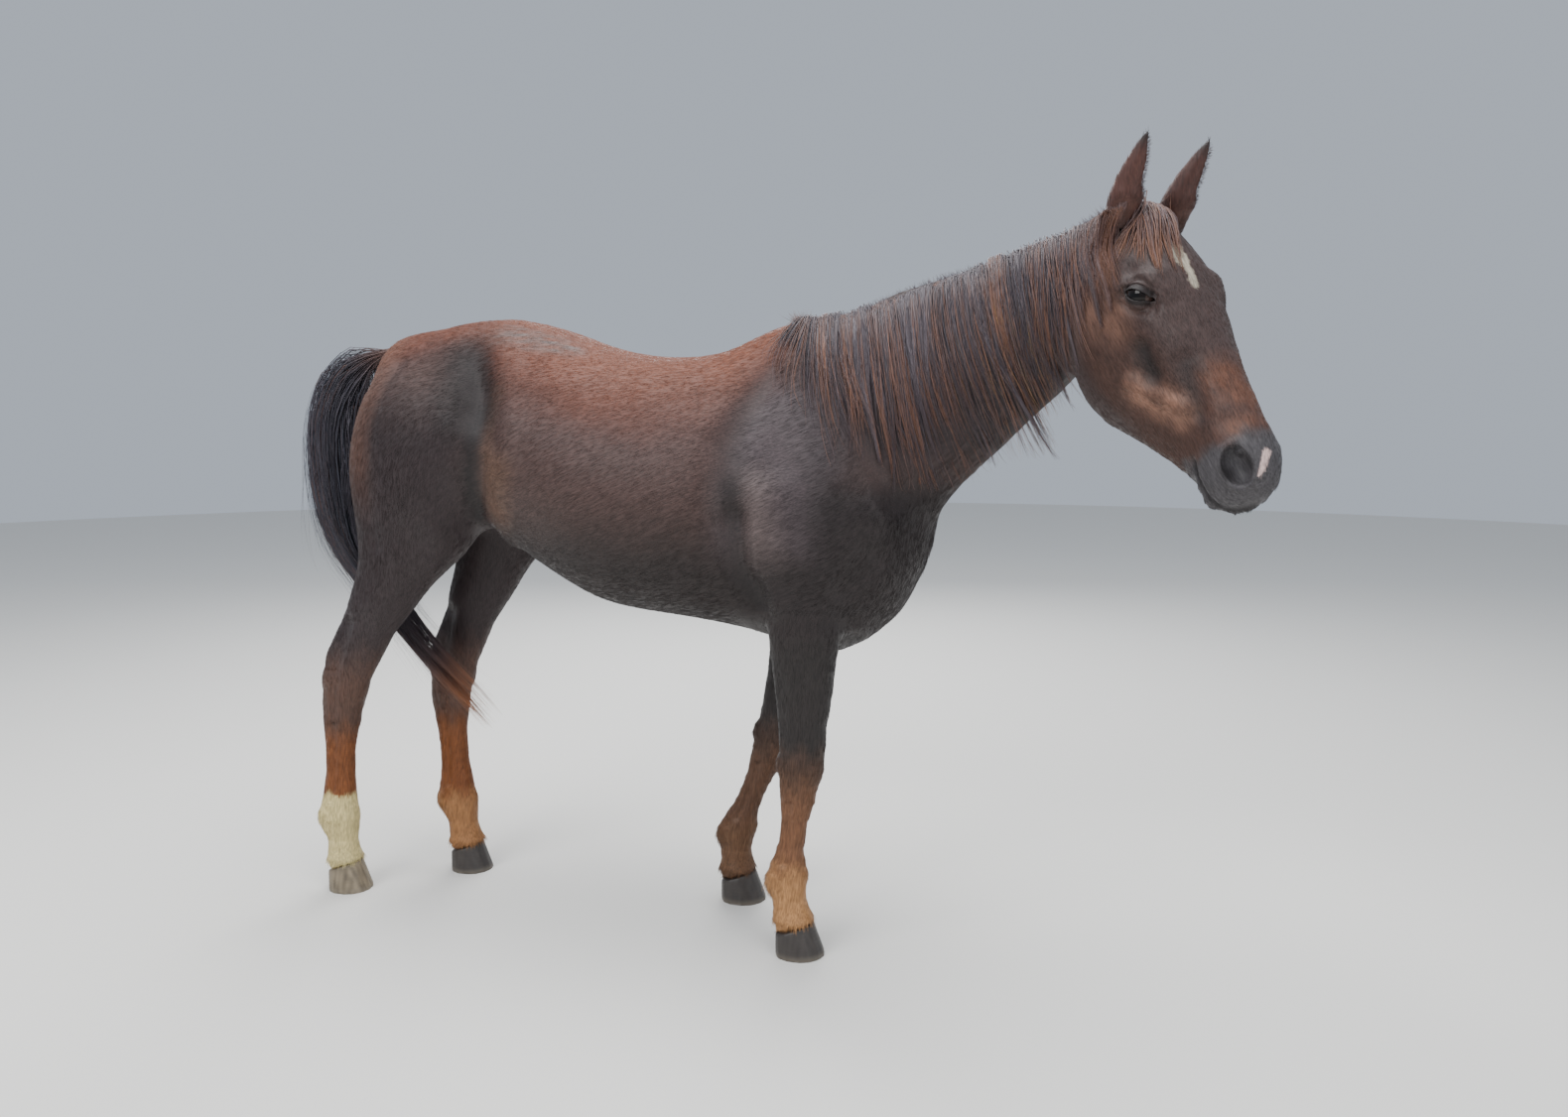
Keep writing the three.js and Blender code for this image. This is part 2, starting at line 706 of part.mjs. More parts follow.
const horse = new THREE.Group();
const headSolid = flesh.intersect(headRegion(0));
const eyes = { right: eyeSolid(RIGHT, 0), left: eyeSolid(LEFT, 0) };
const sockets = eyeSolid(RIGHT, GAP).add(eyeSolid(LEFT, GAP));
horse.add(meshOf('head', headSolid.subtract(sockets), COAT));
const neckSolid = flesh.intersect(aheadOfShoulder(0)).subtract(headRegion(GAP));
horse.add(meshOf('neck', neckSolid, COAT));
let trunkSolid = flesh.subtract(aheadOfShoulder(GAP));
for (const [name, leg] of Object.entries(LEGS)) {
  trunkSolid = trunkSolid.subtract(legRegion(name, leg, GAP));
}
horse.add(meshOf('trunk', trunkSolid, COAT));

for (const [name, leg] of Object.entries(LEGS)) {
  const whole = flesh.intersect(legRegion(name, leg, 0));
  const { body, knee, fetlock } = leg.cuts;
  horse.add(meshOf(`leg_${name}_upper`, whole.intersect(layer(body + 10, knee + GAP)), COAT));
  horse.add(meshOf(`leg_${name}_cannon`, whole.intersect(layer(knee, fetlock + GAP)), SHIN));
  const foot = name === 'hind_right' ? SOCK : SHIN;
  horse.add(meshOf(`leg_${name}_pastern`, whole.intersect(layer(fetlock, -10)), foot));
  const horn = hoofSolid(leg).intersect(belowCoronet(leg, GAP));
  horse.add(meshOf(`hoof_${name}`, horn, HORN));
}

for (const [side, hand] of [['right', RIGHT], ['left', LEFT]]) {
  horse.add(meshOf(`eye_${side}`, eyes[side], EYE));
  const shell = onHead(earSolid(hand, 0).subtract(earHollow(hand))).subtract(room);
  horse.add(meshOf(`ear_${side}`, shell, COAT));
}

const earRoom = onHead(earSolid(RIGHT, 2)).add(onHead(earSolid(LEFT, 2)));
const mane = maneSolid().subtract(room).subtract(earRoom);
horse.add(meshOf('mane', mane, HAIR));
horse.add(meshOf('forelock', forelockSolid().subtract(room).subtract(earRoom), HAIR));

const tail = sweep(tailSection, TAIL_ROUND, TAIL_STEPS).subtract(room);
const { dock, skirt } = TAIL_CUTS;
horse.add(meshOf('tail_dock', tail.intersect(layer(1700, dock)), HAIR));
horse.add(meshOf('tail_skirt', tail.intersect(layer(dock - GAP, skirt)), HAIR));
horse.add(meshOf('tail_switch', tail.intersect(layer(skirt - GAP, 300)), HAIR));

// Stand the horse with its hooves on Z = 0 and the middle of its plan at the origin

const reach = new THREE.Box3().setFromObject(horse);
const middle = reach.getCenter(new THREE.Vector3());
horse.position.set(-middle.x, -middle.y, -reach.min.z);

export default horse;
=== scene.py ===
import math

import bmesh
import bpy
import numpy as np
from mathutils import Matrix, Vector
from mathutils.bvhtree import BVHTree


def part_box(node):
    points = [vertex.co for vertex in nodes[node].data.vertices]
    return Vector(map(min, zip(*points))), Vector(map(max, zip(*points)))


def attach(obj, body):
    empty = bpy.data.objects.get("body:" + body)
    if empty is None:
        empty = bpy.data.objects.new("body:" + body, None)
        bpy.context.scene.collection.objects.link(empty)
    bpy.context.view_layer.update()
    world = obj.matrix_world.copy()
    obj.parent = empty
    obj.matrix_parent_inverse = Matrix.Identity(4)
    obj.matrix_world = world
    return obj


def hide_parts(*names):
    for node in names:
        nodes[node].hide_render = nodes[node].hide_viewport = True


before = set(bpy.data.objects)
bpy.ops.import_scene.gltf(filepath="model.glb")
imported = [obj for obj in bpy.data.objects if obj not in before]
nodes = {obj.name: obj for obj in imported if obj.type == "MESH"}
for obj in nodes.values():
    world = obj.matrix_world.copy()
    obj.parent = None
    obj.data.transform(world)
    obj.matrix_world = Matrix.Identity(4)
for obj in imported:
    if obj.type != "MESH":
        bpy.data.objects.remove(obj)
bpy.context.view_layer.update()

# ---- Studio: a pale matt floor, a broad soft light overhead and to the left, a weaker fill from the right
# and a rim light behind, so that the dark coat shows its forms. None of it belongs to the horse.

CAMERA_PLACE = (0.98917, -2.62565, 1.3226)
CAMERA_TURN = (82.71, 0, 17)
CAMERA_LENS = 26.9
FLOOR_RADIUS = 14
FLOOR_COLOUR = "#e4e2dd"
HORSE_MIDDLE = Vector((-0.1, 0.1, 1.0))
# name, place, width, height, power in watts
LIGHTS = [
    ("key", (-2.4, -4.4, 4.4), 3.6, 3.0, 230),
    ("fill", (3.8, -3.0, 2.2), 2.6, 2.6, 60),
    ("top", (0.0, 0.2, 5.2), 5.0, 3.6, 330),
    ("rim", (-1.4, 4.4, 3.2), 3.0, 2.0, 120),
]
SKY_COLOUR = "#dfe9f7"
SKY_POWER = 0.62


def paint(hex_colour):
    """An sRGB hex colour as linear red, green, blue and a full alpha."""
    levels = [int(hex_colour[i:i + 2], 16) / 255 for i in (1, 3, 5)]
    return tuple(v / 12.92 if v <= 0.04045 else ((v + 0.055) / 1.055) ** 2.4 for v in levels) + (1,)


def add(material, kind, settings=None, **links):
    """Adds one node, with its settings, its socket values and its links from other nodes' sockets. A link is
    named after its socket, or _ and the socket's number."""
    node = material.node_tree.nodes.new(kind)
    for name, value in (settings or {}).items():
        if hasattr(node, name):
            setattr(node, name, value)
        else:
            node.inputs[name].default_value = value
    for name, source in links.items():
        target = node.inputs[int(name[1:]) if name[1:].isdigit() else name]
        material.node_tree.links.new(source, target)
    return node


def new_material(name, roughness):
    """A material with one Principled shader."""
    material = bpy.data.materials.new(name)
    material.use_nodes = True
    material.node_tree.nodes.clear()
    shader = add(material, "ShaderNodeBsdfPrincipled")
    add(material, "ShaderNodeOutputMaterial", Surface=shader.outputs[0])
    shader.inputs["Roughness"].default_value = roughness
    return material, shader


def join(material, source, shader, socket):
    material.node_tree.links.new(source, shader.inputs[socket])


def placed(name, data):
    """Puts a mesh, lamp or camera in the scene."""
    thing = bpy.data.objects.new(name, data)
    bpy.context.scene.collection.objects.link(thing)
    return thing


def show(name, mesh, material):
    """Puts a mesh in the scene, smooth and in its material."""
    mesh.materials.append(material)
    mesh.shade_smooth()
    return placed(name, mesh)


# matt paint, so that the floor shows the shadows and no reflections
floor_paint, floor_shader = new_material("floor_matt_paint", 0.9)
floor_shader.inputs["Base Color"].default_value = paint(FLOOR_COLOUR)
floor_form = bmesh.new()
bmesh.ops.create_circle(floor_form, cap_ends=True, segments=96, radius=FLOOR_RADIUS)
floor_mesh = bpy.data.meshes.new("floor")
floor_form.to_mesh(floor_mesh)
floor_form.free()
show("floor", floor_mesh, floor_paint)

for name, place, width, height, power in LIGHTS:
    lamp = bpy.data.lights.new(name, "AREA")
    lamp.shape = "RECTANGLE"
    lamp.size = width
    lamp.size_y = height
    lamp.energy = power
    lamp_object = placed(name, lamp)
    lamp_object.location = place
    lamp_object.rotation_euler = (HORSE_MIDDLE - Vector(place)).to_track_quat("-Z", "Y").to_euler()

sky = bpy.data.worlds.new("pale_room")
sky.use_nodes = True
sky.node_tree.nodes["Background"].inputs["Color"].default_value = paint(SKY_COLOUR)
sky.node_tree.nodes["Background"].inputs["Strength"].default_value = SKY_POWER
bpy.context.scene.world = sky

camera_data = bpy.data.cameras.new("camera")
camera_data.lens = CAMERA_LENS
camera = placed("camera", camera_data)
camera.location = CAMERA_PLACE
camera.rotation_euler = [math.radians(turn) for turn in CAMERA_TURN]
bpy.context.scene.camera = camera

# ---- Skin: one closed hide over head, neck, trunk, ears and legs. It is drawn from the solids of the flesh,
# melted together so that no joint shows, let in by the depth of the coat, and then modelled by pressing
# and raising soft strokes for muscles, bones, tendons and folds.

MIDDLE = 0.12585  # the plane between the horse's two halves, across the row
SIDES = ((-1, "right"), (1, "left"))
HEAD_PITCH = math.radians(53)
EYES_DOWN_FACE = 0.195  # from the poll along the head's axis
EYES_BELOW_AXIS = 0.050
VOXEL = 0.0134
GROWTH = 0.0005  # closes the thin cuts between the solids
TRUNK_COAT = 0.004
LEG_COAT = 0.003
HEAD_COAT = 0.002
EASE = 0.5  # how far one round of smoothing draws a point towards its neighbours
PUSH_BACK = 1.04  # how much of that every second round undoes on the slim legs
BODY_ROUNDS = 36
LEG_ROUNDS = 24
FACE_ROUNDS = 8
FREE_LEG_TOP = 0.80
EARS_AHEAD = 0.86  # all that is both further forward and higher than this is ear
EARS_ABOVE = 1.70
LEG_BONES = {
    # the middle of each leg from the trunk to the hoof: along, across from the horse's middle, height
    "fore_right": (-1, [(0.295, 0.152, 1.08), (0.249, 0.150, 0.885), (0.231, 0.138, 0.445),
                        (0.202, 0.132, 0.195), (0.213, 0.132, 0.088)]),
    "fore_left": (1, [(0.273, 0.152, 1.08), (0.187, 0.150, 0.885), (0.075, 0.143, 0.445),
                      (-0.019, 0.138, 0.195), (-0.025, 0.138, 0.088)]),
    "hind_right": (-1, [(-0.768, 0.132, 1.33), (-0.800, 0.138, 1.06), (-1.061, 0.118, 0.565),
                        (-1.097, 0.115, 0.215), (-1.093, 0.115, 0.088)]),
    "hind_left": (1, [(-0.753, 0.132, 1.33), (-0.705, 0.138, 1.06), (-0.877, 0.114, 0.555),
                      (-0.865, 0.108, 0.215), (-0.847, 0.108, 0.088)]),
}
FLESH = ["head", "neck", "trunk"]
FLESH += [f"leg_{leg}_{part}" for leg in LEG_BONES for part in ("upper", "cannon", "pastern")]

eye_centres = {}
for side, hand in SIDES:
    eye_low, eye_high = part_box(f"eye_{hand}")
    eye_centres[side] = (eye_low + eye_high) / 2
across = (eye_centres[1] - eye_centres[-1]).normalized()
forward = Vector((across.y, -across.x, 0))
along = forward * math.cos(HEAD_PITCH) - Vector((0, 0, math.sin(HEAD_PITCH)))
lift = forward * math.sin(HEAD_PITCH) + Vector((0, 0, math.cos(HEAD_PITCH)))
poll = (eye_centres[1] + eye_centres[-1]) / 2 - EYES_DOWN_FACE * along + EYES_BELOW_AXIS * lift
head_axes = np.array([along, across, lift])


def smooth(values, low, high):
    """0 below low, 1 above high, and an easy slope between them."""
    t = np.clip((values - low) / (high - low), 0, 1)
    return t * t * (3 - 2 * t)


def unit(vectors):
    """The same ways, each of length 1."""
    return vectors / np.maximum(np.linalg.norm(vectors, axis=-1, keepdims=True), 1e-9)


def head_chart(places):
    """Along the head from the poll, across it to the left, and up from its axis."""
    return (places - np.array(poll)) @ head_axes.T


def head_share(places):
    """1 on the head, 0 behind the throat."""
    chart = head_chart(places)
    ahead = smooth(places[:, 0], 0.68, 0.76) * smooth(places[:, 2], 1.05, 1.15)
    before_throat = smooth((places - np.array(poll)) @ np.array(forward), -0.20, -0.15)
    before_throat = np.maximum(before_throat, places[:, 2] > 1.62)
    return smooth(chart[:, 0] - 0.25 * (chart[:, 2] + 0.12), -0.05, 0.03) * ahead * before_throat


def leg_middle(leg, heights):
    """The middle of a leg, along and across, at each height."""
    hand, bones = LEG_BONES[leg]
    x, y, z = np.array(bones[::-1]).T
    return np.interp(heights, z, x), MIDDLE + hand * np.interp(heights, z, y)


def leg_share(leg, places):
    """1 on the free part of one leg, 0 elsewhere."""
    x, y = leg_middle(leg, places[:, 2])
    near = np.hypot(places[:, 0] - x, places[:, 1] - y)
    return (1 - smooth(near, 0.15, 0.19)) * (1 - smooth(places[:, 2], FREE_LEG_TOP, FREE_LEG_TOP + 0.12))


def legs_share(places):
    """1 on the free part of any leg, 0 elsewhere."""
    return np.minimum(sum(leg_share(leg, places) for leg in LEG_BONES), 1)


def copy_of(name, growth):
    """A CAD node's solid, with its loose triangles joined and its walls moved out a little."""
    form = bmesh.new()
    form.from_mesh(nodes[name].data)
    bmesh.ops.remove_doubles(form, verts=form.verts, dist=1e-5)
    form.normal_update()
    for vert in form.verts:
        vert.co += vert.normal * growth
    return form


def relaxed(places, edges, share, rounds, keep=0.0):
    """Each point drawn by its share towards the mean of its neighbours, over and over. Where keep is above 0,
    every second round pushes it back out by that much of the way, so that slim parts don't shrink."""
    count = np.bincount(edges.ravel(), minlength=len(places))[:, None]
    for _ in range(rounds):
        total = np.empty_like(places)
        for axis in range(3):
            total[:, axis] = np.bincount(edges[:, 0], places[edges[:, 1], axis], len(places))
            total[:, axis] += np.bincount(edges[:, 1], places[edges[:, 0], axis], len(places))
        places = places + share[:, None] * (total / count - places)
        if keep:
            share = -share * (keep if share.max() > 0 else 1 / keep)
    return places


def numbers_of(things, what, width, kind=np.float32):
    """One row of numbers for each point, edge, face or corner of a mesh."""
    values = np.empty(len(things) * width, kind)
    things.foreach_get(what, values)
    return values.reshape(-1, width)


def points_of(mesh, what="co"):
    return numbers_of(mesh.vertices, what, 3).astype(float)


def edges_of(mesh):
    return numbers_of(mesh.edges, "vertices", 2, np.int32)


def set_points(mesh, places):
    mesh.vertices.foreach_set("co", places.astype(np.float32).ravel())
    mesh.update()


def modified(thing):
    """A new mesh with an object's modifiers applied."""
    return bpy.data.meshes.new_from_object(thing.evaluated_get(bpy.context.evaluated_depsgraph_get()))


def melted(name, forms, voxel):
    """Several solids melted into one closed mesh of small squares."""
    mesh = bpy.data.meshes.new(name)
    whole = bmesh.new()
    for form in forms:
        part = bpy.data.meshes.new("part")
        form.to_mesh(part)
        whole.from_mesh(part)
        form.free()
        bpy.data.meshes.remove(part)
    whole.to_mesh(mesh)
    whole.free()
    thing = placed(name, mesh)
    melt = thing.modifiers.new("melt", "REMESH")
    melt.mode = "VOXEL"
    melt.voxel_size = voxel
    made = modified(thing)
    bpy.data.objects.remove(thing)
    bpy.data.meshes.remove(mesh)
    return made


def finer(mesh, chosen):
    """Cuts in four the faces whose middles the chosen function picks."""
    form = bmesh.new()
    form.from_mesh(mesh)
    picked = chosen(np.array([face.calc_center_median() for face in form.faces]))
    form.faces.ensure_lookup_table()
    edges = {edge for index in np.nonzero(picked)[0] for edge in form.faces[index].edges}
    bmesh.ops.subdivide_edges(form, edges=list(edges), cuts=1, use_grid_fill=True)
    form.to_mesh(mesh)
    form.free()
    mesh.update()


EAR_VOXEL = 0.0032
EAR_ROOT = 0.030  # how far an ear's root runs down into the head
EAR_FACING = math.radians(62)  # how far each ear's opening turns from straight ahead towards the left
EAR_GAP = math.radians(52)  # half the angle of the opening, seen down the ear
EAR_SEAM = 0.06  # the same at the foot, where the edges all but meet
EAR_WALL = 0.0062
EAR_ROWS = 20
EAR_POINTS = 26
EAR_ROUNDS = 5
EAR_ROOT_ROUNDS = 6
EAR_BLUNT = 0.35  # the tip's last row against the row under it
FRINGED_ROWS = (0.20, 0.92)

# where the hide is raised or pressed: line of points, reach, height, all in metres. Trunk: along and up.
HINDQUARTER_STROKES = [
    ([(-0.515, 1.425)], 0.080, 0.009),  # point of the hip
    ([(-0.585, 1.410), (-0.575, 1.330)], 0.075, -0.015),  # hollow behind it
    ([(-0.550, 1.370), (-0.535, 1.233), (-0.569, 1.110), (-0.600, 1.045)], 0.078, -0.016),  # flank crease
    ([(-0.545, 1.200), (-0.575, 1.110), (-0.605, 1.050)], 0.026, -0.010),
    ([(-0.470, 1.290), (-0.490, 1.150)], 0.080, 0.007),
    ([(-0.610, 1.040), (-0.520, 0.985)], 0.030, 0.008),  # fold of the flank
    ([(-0.700, 1.300), (-0.710, 1.120)], 0.140, 0.012),  # thigh
    ([(-0.820, 1.430), (-0.870, 1.280), (-0.890, 1.100), (-0.880, 0.980)], 0.034, -0.006),
    ([(-0.690, 1.020)], 0.060, 0.008),  # stifle
    ([(-0.820, 0.950), (-0.910, 0.800)], 0.060, 0.005),
    ([(-0.700, 1.480), (-0.860, 1.440)], 0.080, 0.006),
]
FOREQUARTER_STROKES = [
    ([(0.200, 1.430), (0.340, 1.170)], 0.035, 0.004),  # spine of the shoulder blade
    ([(0.150, 1.370), (0.260, 1.120)], 0.060, -0.004),
    ([(0.150, 1.390), (0.085, 1.240), (0.100, 1.080)], 0.065, -0.014),  # back edge of the shoulder
    ([(0.205, 1.120), (0.195, 0.980)], 0.090, 0.016),
    ([(0.112, 1.080), (0.118, 0.960), (0.150, 0.880)], 0.044, -0.018),  # girth crease
    ([(0.190, 0.885)], 0.050, 0.012),  # elbow
    ([(0.420, 1.090)], 0.080, 0.009),  # point of the shoulder
    ([(0.300, 1.400), (0.400, 1.250), (0.460, 1.120)], 0.045, -0.010),
    ([(0.420, 0.990), (0.350, 0.910)], 0.040, -0.009),  # groove before the forearm
    ([(0.820, 1.330), (0.640, 1.220), (0.500, 1.140)], 0.032, -0.006),  # groove of the great neck vein
]
BARREL_STROKES = [
    ([(-0.350, 1.150), (0.000, 1.120)], 0.260, 0.006),
    ([(-0.440, 1.440), (-0.200, 1.415)], 0.060, -0.004),
]
# the left legs stand further forward or back, and so do the muscles over them
LEFT_SHIFTS = {"hind": 0.07, "fore": -0.05, "barrel": 0}
BODY_STROKES = {"hind": HINDQUARTER_STROKES, "fore": FOREQUARTER_STROKES, "barrel": BARREL_STROKES}
# Legs: heights from and to, degrees from the front of the leg outwards, reach, height
FORELEG_STROKES = [
    (0.620, 0.800, 20, 0.050, 0.006),
    (0.520, 0.740, 78, 0.018, -0.0045),
    (0.520, 0.700, 135, 0.015, -0.003),
    (0.455, 0.465, 35, 0.026, 0.004),
    (0.455, 0.465, -35, 0.026, 0.004),
    (0.405, 0.410, 0, 0.020, -0.003),
    (0.470, 0.485, 180, 0.026, 0.008),
    (0.235, 0.385, 112, 0.014, -0.0055),
    (0.235, 0.385, -112, 0.014, -0.0055),
    (0.180, 0.190, 150, 0.026, 0.005),
    (0.180, 0.190, -150, 0.026, 0.005),
    (0.195, 0.205, 0, 0.026, 0.003),
    (0.120, 0.135, 180, 0.030, -0.005),
    (0.520, 0.545, -95, 0.012, 0.004),
]
HINDLEG_STROKES = [
    (0.590, 0.605, 180, 0.032, 0.006),
    (0.625, 0.760, 140, 0.026, -0.011),
    (0.625, 0.760, -140, 0.026, -0.011),
    (0.525, 0.540, -60, 0.028, 0.004),
    (0.500, 0.600, 112, 0.015, -0.004),
    (0.560, 0.575, 20, 0.030, 0.004),
    (0.255, 0.470, 115, 0.014, -0.0055),
    (0.255, 0.470, -115, 0.014, -0.0055),
    (0.200, 0.212, 150, 0.027, 0.005),
    (0.200, 0.212, -150, 0.027, 0.005),
    (0.215, 0.225, 0, 0.026, 0.003),
    (0.135, 0.150, 180, 0.030, -0.005),
    (0.495, 0.515, -115, 0.011, 0.004),
]
# all round each leg: height, growth in front, growth behind
LEG_SWELLS = np.array([
    (0.090, 0, 0), (0.115, -0.0018, -0.0020), (0.142, -0.0030, -0.0025), (0.172, 0.0012, 0.0020),
    (0.200, 0.0038, 0.0050), (0.228, 0.0016, 0.0030), (0.262, 0.0010, 0.0010), (0.340, 0.0014, 0.0014),
    (0.400, 0.0014, 0.0018), (0.440, 0.0026, 0.0034), (0.475, 0.0040, 0.0026), (0.520, 0.0020, 0.0006),
    (0.580, 0, 0),
])
CORONET_HEIGHT = 0.087
CORONET_RISE = 0.003
# Head: along from the poll and up from its axis, on both sides
CHEEK_HOLLOW = [(0.282, -0.096), (0.312, -0.106), (0.330, -0.110)]
MOUTH_LINE = [(0.505, -0.140), (0.530, -0.151), (0.574, -0.156), (0.600, -0.152), (0.620, -0.130),
              (0.630, -0.100)]
HEAD_STROKES = [
    (CHEEK_HOLLOW, 0.034, -0.011),
    ([(0.310, -0.156), (0.362, -0.128), (0.415, -0.095)], 0.026, 0.008),  # facial crest
    ([(0.351, -0.040), (0.389, -0.050), (0.442, -0.071)], 0.030, -0.006),
    ([(0.190, -0.210), (0.280, -0.200)], 0.090, 0.006),  # jaw muscle
    ([(0.142, -0.030)], 0.024, -0.007),  # hollow over the eye
    ([(0.180, -0.008), (0.215, -0.018)], 0.034, 0.009),  # brow
    ([(0.150, -0.078), (0.085, -0.072)], 0.020, 0.005),
    ([(0.490, -0.036)], 0.030, -0.004),
    ([(0.600, -0.105)], 0.034, 0.004),  # upper lip
    ([(0.580, -0.174)], 0.026, 0.005),  # chin
    ([(0.525, -0.172)], 0.022, -0.005),
    (MOUTH_LINE, 0.011, -0.007),
    ([(0.618, -0.046), (0.634, -0.040)], 0.020, -0.009),  # dip between the nose and the upper lip
    ([(0.300, -0.290), (0.400, -0.235), (0.480, -0.185)], 0.022, 0.003),  # edge of the jaw
]
EYE_RADIUS = 0.028
EYE_OPENING = (0.198, 0.104, -0.042)  # the middle of the gap between the lids, in the head's own chart
EYE_SLOPE = (0.78, -0.31, 0.54)  # from the rear corner to the front one, in the same chart
EYE_PROUD = 0.0030  # how far the ball stands past the middle of the gap
LID_HALF = 0.028
LID_TOP = 0.0122
LID_LOW = 0.0070
LID_DEPTH = 0.0030
TEAR_DUCT = 0.0035  # half the width of the gap's front corner
TEAR_DUCT_LONG = 0.009
# folds of the lids: distance from the edge, reach, height on the upper lid and on the lower one
LID_FOLDS = [
    (0.0015, 0.0030, 0.0010, 0.0010),
    (0.0085, 0.0035, -0.0030, -0.0016),
    (0.0155, 0.0070, 0.0035, 0.0008),
    (0.0200, 0.0030, 0, -0.0014),
]
NOSTRIL_PLACE = (0.568, 0.054, -0.062)
NOSTRIL_FACING = (0.42, 0.86, 0.28)
NOSTRIL_HALF_LONG = 0.036
NOSTRIL_HALF_WIDE = 0.027
NOSTRIL_DEEP = 0.028
NOSTRIL_RIM = 0.0050
NOSTRIL_FOLD = 0.010


def gap_to(line, chart):
    """Each point's distance on a chart from a line of points."""
    line = np.array(line, float)
    if len(line) == 1:
        return np.hypot(*(chart - line[0]).T)
    gap = np.full(len(chart), np.inf)
    for start, end in zip(line, line[1:]):
        run = end - start
        t = np.clip((chart - start) @ run / (run @ run), 0, 1)
        gap = np.minimum(gap, np.hypot(*(chart - start - t[:, None] * run).T))
    return gap


def band(gap, reach):
    """1 on a stroke's line, easing to 0 at its reach."""
    return np.clip(1 - (gap / reach) ** 2, 0, 1) ** 2


def leg_turn(leg, places):
    """The angle of each point round its leg, 0 to the front and 90 degrees outwards, in radians."""
    x, y = leg_middle(leg, places[:, 2])
    return np.arctan2((places[:, 1] - y) * LEG_BONES[leg][0], places[:, 0] - x)


def ear_form(name):
    """An ear as a leaf of gristle rolled into a deep cup, as wide and tall as its solid, rooted in the head.
    The places of the cup's edge, and the way out from each, are kept in ear_edges."""
    mesh = melted("ear", [copy_of(name, 0)], EAR_VOXEL)
    places = points_of(mesh)
    bpy.data.meshes.remove(mesh)
    tip = places[places[:, 2].argmax()]
    root = places[places[:, 2] < places[:, 2].min() + 0.02].mean(0)
    length = np.linalg.norm(tip - root)
    axis = (tip - root) / length
    ahead = np.array(Matrix.Rotation(EAR_FACING, 3, "Z") @ forward)
    facing = unit(ahead - ahead @ axis * axis)
    broad = np.cross(axis, facing)
    t, u, v = (places - root) @ axis / length, (places - root) @ broad, (places - root) @ facing
    form = bmesh.new()
    rings = []
    for row in np.linspace(-EAR_ROOT / length, 1, EAR_ROWS):
        near = np.abs(t - np.clip(row, 0.02, 0.97)) < 0.035
        half_u, half_v = (u[near].max() - u[near].min()) / 2, (v[near].max() - v[near].min()) / 2
        middle = root + row * length * axis + (u[near].max() + u[near].min()) / 2 * broad
        middle = middle + (v[near].max() + v[near].min()) / 2 * facing
        if row > 0.97:
            half_u, half_v = EAR_BLUNT * half_u, EAR_BLUNT * half_v
        gap = EAR_SEAM + EAR_GAP * smooth(row, 0.12, 0.40)
        hollow = 0.04 + 0.96 * smooth(row, 0.06, 0.20)
        angles = np.linspace(gap, 2 * math.pi - gap, EAR_POINTS)
        wall = EAR_WALL * (1 - 0.3 * row)
        inner_u, inner_v = max(half_u - wall, 0.001) * hollow, max(half_v - wall, 0.001) * hollow
        around = [(math.cos(angle) * facing, math.sin(angle) * broad) for angle in angles]
        ring = [middle + half_v * fore + half_u * aside for fore, aside in around]
        ring += [middle + inner_v * fore + inner_u * aside for fore, aside in reversed(around)]
        rings.append([form.verts.new(place) for place in ring])
        if FRINGED_ROWS[0] < row < FRINGED_ROWS[1]:
            for edge, way in ((ring[0], 0.6), (ring[EAR_POINTS - 1], -0.6)):
                ear_edges.append((edge - 0.003 * facing, facing + way * broad + 0.6 * axis))
    count = 2 * EAR_POINTS
    for lower, upper in zip(rings, rings[1:]):
        for i in range(count):
            form.faces.new([lower[i], lower[(i + 1) % count], upper[(i + 1) % count], upper[i]])
    for ring in (rings[0], rings[-1]):
        for i in range(EAR_POINTS - 1):
            form.faces.new([ring[i + 1], ring[i], ring[count - 1 - i], ring[count - 2 - i]])
    bmesh.ops.recalc_face_normals(form, faces=form.faces)
    mesh = melted("ear", [form], EAR_VOXEL)
    set_points(mesh, relaxed(points_of(mesh), edges_of(mesh), np.full(len(mesh.vertices), EASE), EAR_ROUNDS))
    return mesh


def joined(first, second):
    """Two closed meshes cut and joined into one."""
    things = [placed("part", mesh) for mesh in (first, second)]
    union = things[0].modifiers.new("union", "BOOLEAN")
    union.operation = "UNION"
    union.solver = "EXACT"
    union.object = things[1]
    made = modified(things[0])
    for thing in things:
        bpy.data.objects.remove(thing)
    form = bmesh.new()
    form.from_mesh(made)
    bmesh.ops.recalc_face_normals(form, faces=form.faces)
    form.to_mesh(made)
    form.free()
    return made


def head_point(down, aside, up, hand):
    """A place in the head's chart, on the right (-1) or left (1) side, as a point of the row."""
    return np.array(poll) + np.array([down, hand * aside, up]) @ head_axes


def head_arrow(down, aside, up, hand):
    """A way in the head's chart, as one of length 1 in the row."""
    return unit(np.array([down, hand * aside, up]) @ head_axes)


def eye_frame(hand):
    """The middle of the lids' gap, the way out of the eye, the way to its front corner, and up."""
    to_front = head_arrow(*EYE_SLOPE, hand)
    out = head_arrow(0, 1, 0, hand)
    out = unit(out - out @ to_front * to_front)
    return head_point(*EYE_OPENING, hand), out, to_front, np.cross(out, to_front) * -hand


def from_eyes(places):
    """Each place's distance from the nearer eye."""
    return np.min([np.linalg.norm(places - eye_frame(hand)[0], axis=1) for hand in (-1, 1)], axis=0)


def from_nostrils(places):
    """Each place's distance from the nearer nostril."""
    gaps = [np.linalg.norm(places - head_point(*NOSTRIL_PLACE, hand), axis=1) for hand in (-1, 1)]
    return np.min(gaps, axis=0)


